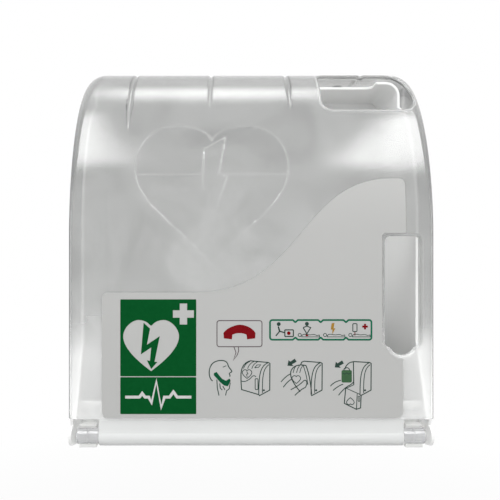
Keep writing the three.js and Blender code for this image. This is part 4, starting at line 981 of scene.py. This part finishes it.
shut = (-10.9, -156)
bend_line = bezier([(0, 24), (0.4, 31), (4, 36), (10, 37.4)], 6)
small_cabinet(shut, np.concatenate([[(18.8, 1.6), (0.6, 7), (0, 16)], bend_line, [(29, 35.6)]]))
wave_line = [(0.4, 16), (4, 14.6), (7, 16.4), (10, 18.8), (12, 21.4), (13.6, 22.8), (16, 20.4)]
sketch(shut, 0.9, bezier(wave_line, 6))
sketch(shut, 0.9, box_outline(15, 7, 18, 18.4, 0.9, 3), True)
sketch(shut, 0.85, small_heart + (6.4, 18.8), True)
sketch(shut, 0.8, [(6, 26.2), (7.4, 23.6), (5.8, 23), (6.6, 20.4)])
for ridge in (4.6, 9, 13.4):
    sketch(shut, 0.8, bezier([(ridge - 2, 29), (ridge - 1, 33), (ridge + 2, 35.6), (ridge + 5, 36.8)], 5))
sketch(shut, 0.8, [(14.4, 30), (18.6, 30.6), (20.8, 33.2), (17, 33), (14.4, 30)])


def arrow(at):
    """A short arrow that points to the lower left."""
    outline = [(0, 0.6), (1.2, 6.6), (3, 4.9), (7.8, 8.1), (9.8, 4.8), (4.8, 2.1), (6.6, 0.2)]
    fill("dark", in_frame(outline, at))


opening = (44.4, -156)
small_cabinet(opening, [(7.6, 32.8), (9, 36), (11.6, 37), (29, 35.6)])
arrow((38.2, -124.4))
pulled = bezier([(7.4, 4.6), (1, 12), (-4, 20), (-2.6, 26), (-1.4, 31), (4, 33.4), (10, 33)], 7)
pulled = np.concatenate([pulled, bezier([(13.4, 32.4), (17, 24), (18.6, 12), (19.4, 2)], 7)])
sketch(opening, 1.1, pulled)
sketch(opening, 0.85, bezier([(10.4, 32.8), (13.6, 24), (14.6, 18), (15.4, 12)], 6))
sketch(opening, 0.85, small_heart * 0.9 + (3.2, 13.4), True)
for ridge in (1.4, 5, 8.4):
    sketch(opening, 0.8, [(ridge - 1.6, 24.6), (ridge - 0.4, 29), (ridge + 1.6, 32.4)])
for sleeve in (
    [(-13, 14.9), (-9, 20), (-6, 22), (-2.6, 23.8)],
    [(-10.6, 9.4), (-7, 14), (-5, 16.4), (-1.6, 18)],
    [(1.6, 0.7), (5, 4), (8, 7), (13, 9.4)],
    [(-2.8, 6.8), (4, 10), (8, 13), (11.6, 16.8)],
    [(11.6, 16.8), (14, 17.4), (15.6, 15), (13, 9.4)],
):
    sketch(opening, 1.0, bezier(sleeve, 6))

lifting = (96.2, -156)
mouth_line = np.concatenate([[(12.2, 12)], bezier([(11.8, 36.4), (7, 36), (4, 33), (2.8, 28.6)], 6)])
small_cabinet(lifting, mouth_line)
sketch(lifting, 1.1, [(11.8, 36.6), (29, 35.6)])
sketch(lifting, 0.9, [(12.2, 12), (4.2, 8.4), (19.2, 1.6)])
arrow((88.2, -126.2))
fill("olive", in_frame(box_outline(-0.8, 14.4, 10.2, 27.6, 1.6, 4), lifting), lift=0.6)
sketch(lifting, 1.0, bezier([(1.6, 27.4), (2, 31), (7.4, 31), (7.8, 27.4)], 6))
sketch(lifting, 0.7, [(0.4, 24.6), (2.6, 23.2), (4.7, 24.6), (7, 23.2), (9, 24.6)])
for sleeve in (
    [(-12.6, 10.6), (-9, 14.6), (-5, 16.2), (-1.4, 16.8)],
    [(-9.8, 6), (-6, 9.4), (-2, 12), (1, 12.6)],
    [(-4, 0.9), (0, 6), (4, 10), (8, 11.6)],
    [(8, 11.6), (11, 13.6), (13, 15.4), (12, 17.6)],
):
    sketch(lifting, 1.0, bezier(sleeve, 6))
dropped = [(3.6, 8.2), (2.2, -7.6), (15, -13.9), (19.4, -12.4), (20, 1.2)]
sketch(lifting, 1.1, dropped)
sketch(lifting, 0.9, [(15, -13.9), (15.8, 2.4)])
sketch(lifting, 0.75, box_outline(16.9, -5.6, 18.5, 0, 0.6, 3), True)
sketch(lifting, 0.85, small_heart * 0.8 * (1, -1) + (8.6, -1.6), True)

ink_colours = {
    "green": (0.001, 0.066, 0.014),
    "leaf": (0.004, 0.072, 0.03),
    "mint": (0.01, 0.115, 0.062),
    "olive": (0.045, 0.105, 0.05),
    "dark": (0.026, 0.05, 0.04),
    "grey": (0.11, 0.09, 0.095),
    "red": (0.165, 0.004, 0.007),
    "yellow": (0.3, 0.17, 0.03),
    "pale": (0.505, 0.507, 0.498),
}
for colour, shape in inks.items():
    full = ink_colours[colour]
    pigment, ink_gloss, on_ink = new_finish("ink_" + colour, Specular_IOR_Level=0.02)
    density = on_ink.noise(260, 3)
    density.mix(full, [min(1, c * 1.25 + 0.002) for c in full]).into(ink_gloss, "Base Color")
    (0.44 + density * 0.12).into(ink_gloss, "Roughness")
    stand("label_print_" + colour, shape.mesh("label_print_" + colour), pigment, "cover", "label_film")


# Rear housing: one white ABS moulding, screwed to the wall, with a hood under the cover's top, side walls
# with a stepped lip, and an upstand along the front of its floor that the hinge clips are screwed to.
def coloured(name, low, high, rough, patch=9, grain=900, grain_height=0.00012, metal=0.0):
    """Finish whose colour drifts between two tones, with a fine grain moulded or worn into it."""
    made, gloss, where = new_finish(name, Metallic=metal)
    drift = where.noise(patch, 4, Roughness=0.6)
    drift.mix(low, high).into(gloss, "Base Color")
    (rough + drift * 0.16).into(gloss, "Roughness")
    where.noise(grain, 2).bump(0.35, grain_height).into(gloss, "Normal")
    return made


def softened(node, finish, body, slot, width=0.3, steps=2, angle=30, finer=0):
    """The solid's own shape with its flats joined, its edges rounded off and its curves shaded evenly."""
    shape = bmesh.new()
    shape.from_mesh(bpy.data.objects[node].data)
    bmesh.ops.remove_doubles(shape, verts=shape.verts, dist=0.004 * mm)
    bmesh.ops.dissolve_limit(shape, angle_limit=math.radians(0.5), verts=shape.verts, edges=shape.edges)
    mesh = bpy.data.meshes.new(node + "_finish")
    shape.to_mesh(mesh)
    shape.free()
    mesh.polygons.foreach_set("use_smooth", np.ones(len(mesh.polygons), bool))
    piece = stand(node + "_finish", mesh, finish, body, slot, node)
    if finer:
        smooth = piece.modifiers.new("smooth_curve", "SUBSURF")
        smooth.levels = smooth.render_levels = finer
    else:
        round_edges(piece, width, steps, angle)
    return piece


white_abs = coloured("white_moulded_abs", (0.86, 0.863, 0.856), (0.9, 0.902, 0.895), 0.36)
softened("rear_housing", white_abs, "housing", "housing_plastic", 0.45, 3)


# Caps over the four wall screws: white polyethylene buttons with a soft crown. Each is pushed into its
# place over the screw by a stem.
cap_white = coloured("white_polyethylene", (0.70, 0.705, 0.70), (0.77, 0.773, 0.765), 0.42, 30)
button = [(0, -5.4), (2.2, -5.38), (4.4, -5.2), (5.8, -4.85), (6.6, -4.4), (6.95, -3.9), (7, -3.5)]
button += [(6.9, -3.3), (2.3, -3.3), (2.3, -1.4), (1.9, -1), (0, -1)]
for number, (x, z) in enumerate(((150, 165), (150, -165), (-150, 165), (-150, -165)), 1):
    name = f"wall_cap_{number}"
    cap = turned(name + "_button", button, (x, 0, z), 48, "y")
    stand(name + "_button", cap, cap_white, "housing", "fitting_plastic", name)


# Bumpers: two black rubber studs that stand on the hood under the cover's top. They keep the closed cover
# from rattling.
rubber = coloured("black_rubber", (0.018, 0.018, 0.019), (0.034, 0.034, 0.035), 0.62, 60, 1400, 0.0002)
stud = [(0, 211.2), (2.4, 211.15), (4.2, 210.85), (5.2, 210.3), (5.75, 209.6), (5.95, 208.9), (6, 208.3)]
stud += [(0, 208.3)]
for side, name in ((1, "cover_bumper_right"), (-1, "cover_bumper_left")):
    bumper = turned(name + "_stud", stud, (side * 120.1, -50, 0), 48, "z")
    stand(name + "_stud", bumper, rubber, "housing", "dark_rubber", name)


# Hinge clips: white nylon rings with an open mouth. They spring over the cover's pins, and each is held to
# the upstand by two screws.
nylon = coloured("white_nylon", (0.62, 0.625, 0.615), (0.69, 0.693, 0.68), 0.4, 40)
for name in ("hinge_clip_right", "hinge_clip_left"):
    softened(name, nylon, "housing", "fitting_plastic", 0.22, 2, 40)


# Screws: zinc-plated steel with pan heads and a cross recess, the thread cut up to the head. Four of them
# hold the hinge clips to the upstand, and the others follow with the shelf and the alarm.
def pan_screw(name, place, head, length):
    """Screw driven along +Y from its seat: a head with a cross recess, a threaded shank and a point."""
    x, y, z = place
    flat = 0.66 * head
    thread, core, pitch = 1.5, 1.16, 1
    thread_end, point_start = length - 2.2, length - 1.2
    head_height, recess_floor = 2.5, 1.3
    outline = [(flat, -head_height), (0.8 * head, -2.38), (0.93 * head, -1.95), (head, -1.3), (head, -0.45)]
    outline += [(head - 0.15, -0.3), (thread, -0.3)]
    turn = 0.1
    while turn < thread_end:
        outline += [(thread, turn), (core, turn + 0.35), (core, turn + 0.55), (thread, turn + 0.85)]
        turn += pitch
    outline += [(thread, point_start), (0.4, length - 0.15)]
    sides = 36
    shape = Faces()
    rings = []
    for radius, along in outline:
        rings.append(shape.place([(a, y + along, b) for a, b in circle(x, z, radius, sides)]))
    point = shape.place([(x, y + length, z)])[0]
    for low, high in zip(rings, rings[1:]):
        shape.strip(low, high)
    for i in range(sides):
        shape.faces.append((rings[-1][i], rings[-1][(i + 1) % sides], point))
    arm, reach = 0.15 * head, 0.52 * head
    corners = [(-arm, -reach), (arm, -reach), (arm, -arm), (reach, -arm), (reach, arm), (arm, arm)]
    corners += [(arm, reach), (-arm, reach), (-arm, arm), (-reach, arm), (-reach, -arm), (-arm, -arm)]
    mouth, recess = ([(x + a * size, z + b * size) for a, b in corners] for size in (1, 0.6))
    top = shape.place([(a, y - head_height, b) for a, b in mouth])
    low = shape.place([(a, y - recess_floor, b) for a, b in recess])
    shape.strip(top, low)
    crown = np.concatenate([rings[0], top])
    for ids, loops in ((crown, (circle(x, z, flat, sides), mouth)), (low, (recess,))):
        shape.faces += [(ids[a], ids[b], ids[c]) for a, b, c in triangles(*loops)]
    return face_outwards(shape.mesh(name))


def drive(name, place, head, length, edge=0.06):
    """Puts a screw in at a place, with the edges of its head broken."""
    screw = stand(name + "_zinc", pan_screw(name, place, head, length), zinc, "housing", "zinc_screw", name)
    round_edges(screw, edge, 1, 40)


zinc = coloured("bright_zinc_plate", (0.56, 0.57, 0.58), (0.68, 0.685, 0.69), 0.2, 240, 2600, 0.00005, 1.0)
for number, x in enumerate((-180, -170, 170, 180), 1):
    drive(f"hinge_screw_{number}", (x, -181.8, -176), 3, 8.3)


# Shelf: a steel bracket folded twice, with a gusset welded in at each end, coated in white powder. Four
# screws hold it to bosses of the back wall.
enamel = coloured("white_powder_coat", (0.66, 0.665, 0.66), (0.73, 0.733, 0.725), 0.44, 24, 1300, 0.00025)
softened("device_shelf", enamel, "housing", "fitting_plastic", 0.5, 2)
for number, x in enumerate((111, -111, 37.5, -37.5), 1):
    drive(f"shelf_screw_{number}", (x, -12.3, -91), 4, 9, 0.08)


# Mat on the shelf: black rubber with fine ribs along its length, so that the device doesn't slide. Its
# corners are rounded and its upper edge is broken.
mat = Faces()
mat_end, mat_front, mat_rear, mat_corner = 125, -125.3, -29.3, 12
mat_low, mat_top, mat_edge = -117.7, -116.3, 0.5


def mat_outline(inset):
    """The mat's rounded outline, drawn in on every side."""
    near, far = mat_front + inset, mat_rear - inset
    end, radius = mat_end - inset, mat_corner - inset
    return box_outline(-end, near, end, far, radius, 8)


mat_levels = [(mat_outline(0), mat_low), (mat_outline(0), mat_top - 0.3), (mat_outline(mat_edge), mat_top)]
mat_rings = [mat.place([(x, y, z) for x, y in outline]) for outline, z in mat_levels]
for low, high in zip(mat_rings, mat_rings[1:]):
    mat.strip(low, high)
for ring, (outline, _) in ((mat_rings[0], mat_levels[0]), (mat_rings[-1], mat_levels[-1])):
    mat.faces += [(ring[a], ring[b], ring[c]) for a, b, c in triangles(outline)]
rib_foot = mat_top - 0.1
rib = [(-0.75, 0), (-0.62, 0.45), (-0.3, 0.7), (0.3, 0.7), (0.62, 0.45), (0.75, 0)]
rib_corner = mat_corner - mat_edge
rib_inset, rib_taper, rib_pitch = 0.8, 0.5, 3.0
for rib_y in np.arange(-122, -32, rib_pitch):
    over = max(0, rib_corner - min(rib_y - mat_front - mat_edge, mat_rear - mat_edge - rib_y))
    end = mat_end - mat_edge - (rib_corner - math.sqrt(max(rib_corner**2 - over**2, 0))) - rib_inset
    sections = []
    for x, size in ((-end, 0.35), (-end + rib_taper, 1), (end - rib_taper, 1), (end, 0.35)):
        sections.append(mat.place([(x, rib_y + a * size, rib_foot + b * size) for a, b in rib]))
    for low, high in zip(sections, sections[1:]):
        mat.strip(low, high)
    mat.faces += [tuple(sections[0]), tuple(sections[-1][::-1])]
mat_mesh = face_outwards(mat.mesh("ribbed_mat"))
round_edges(stand("ribbed_mat", mat_mesh, rubber, "housing", "dark_rubber", "shelf_pad"), 0.08, 1, 35)


# Door alarm: a white box of two mouldings, screwed together through the lid, behind the shelf. A sliding
# door covers its battery and slots in the lid let the siren out.
softened("alarm_base", white_abs, "housing", "housing_plastic", 0.3, 2)
softened("alarm_lid", white_abs, "housing", "housing_plastic", 0.45, 3)
for number, z in enumerate((-187, -139), 1):
    drive(f"lid_screw_{number}", (-118, -37.3, z), 3, 12.4)
softened("battery_door", white_abs, "door", "housing_plastic", 0.25, 2)


# Battery of the alarm: a square block cell in a dark plastic sleeve, with two studs for terminals. It lies
# behind the door, held between ribs of the base.
sleeve = coloured("battery_sleeve_film", (0.022, 0.034, 0.052), (0.032, 0.046, 0.066), 0.28, 50, 700, 0.00006)
softened("battery_pack", sleeve, "housing", "battery_sleeve", 0.5, 3)


# Circuit board of the alarm on its posts: green solder resist over copper tracks, with the siren on it, a
# round can of black plastic.
resist, board_gloss, on_board = new_finish("green_solder_resist", Roughness=0.32)
facing = on_board.add("ShaderNodeMapping", {}, {"Vector": on_board, "Rotation": (math.pi / 2, 0, 0)})
tracks = {"Vector": facing, "Scale": 90, "Mortar Size": 0.06, "Mortar Smooth": 0.1}
copper = on_board.add("ShaderNodeTexBrick", {"offset": 0.35}, tracks, output=1)
copper.mix((0.008, 0.06, 0.022), (0.02, 0.13, 0.05)).into(board_gloss, "Base Color")
copper.bump(0.5, 0.00006).into(board_gloss, "Normal")
softened("alarm_board", resist, "housing", "board_laminate", 0.1, 1)
black_abs = coloured("black_moulded_plastic", (0.012, 0.012, 0.013), (0.024, 0.024, 0.025), 0.34, 50)
buzzer = [(0, -24.7), (2.2, -24.7), (2.2, -28.3), (2.6, -28.7), (10.6, -28.7), (11.4, -28.5), (11.9, -27.9)]
buzzer += [(12, -27.2), (12, -21.4), (11.6, -21.1), (11.6, -20.5), (12, -20.2), (12, -16.9), (11.8, -16.7)]
buzzer += [(0, -16.7)]
buzzer_mesh = turned("siren_can", buzzer, (-98, 0, -161), 64, "y")
stand("siren_can", buzzer_mesh, black_abs, "housing", "black_plastic", "siren")


# Red indicator lens: a domed light pipe of tinted acrylic that shows through a hole of the lid. A flange
# behind the lid keeps it in.
tinted, lens_gloss, in_lens = new_finish("red_acrylic", Transmission_Weight=0.35, IOR=1.49)
swirl = in_lens.noise(500, 2)
swirl.mix((0.42, 0.012, 0.01), (0.58, 0.03, 0.02)).into(lens_gloss, "Base Color")
(0.06 + swirl * 0.1).into(lens_gloss, "Roughness")
dome = [(0, -39.3), (0.9, -39.2), (1.7, -38.8), (2.3, -38.1), (2.6, -37.3), (2.6, -33.6), (4, -33.6)]
dome += [(4, -32.3), (3.9, -32.2), (0, -32.2)]
lens_mesh = turned("indicator_dome", dome, (-76, 0, -145), 48, "y")
stand("indicator_dome", lens_mesh, tinted, "housing", "lens_red", "indicator_lens")


# Arming switch: a small black slide whose knob moves in a slot of the lid. A flange behind the lid holds
# it.
softened("arming_switch", black_abs, "switch", "black_plastic", 0.25, 2)


# Magnet and its holder inside the cover, behind the label: a nickel-plated bar in a white pocket. The reed
# switch of the alarm answers to it.
softened("magnet_holder", nylon, "cover", "fitting_plastic", 0.4, 3)
nickel = coloured("nickel_plate", (0.50, 0.49, 0.47), (0.60, 0.59, 0.565), 0.22, 120, 2200, 0.00005, 1.0)
softened("sensor_magnet", nickel, "cover", "magnet_alloy", 0.3, 2)


# Reed switch on the back of the upstand, and its wire: white sheathed, held to the floor by two arched
# clips all the way to the alarm.
softened("reed_sensor", white_abs, "housing", "housing_plastic", 0.5, 3)
sheath = coloured("white_wire_sheath", (0.60, 0.605, 0.60), (0.68, 0.682, 0.672), 0.38, 80)
softened("sensor_wire", sheath, "housing", "wire_sheath", finer=2)
for name in ("wire_clip_1", "wire_clip_2"):
    softened(name, nylon, "housing", "fitting_plastic", 0.25, 2)
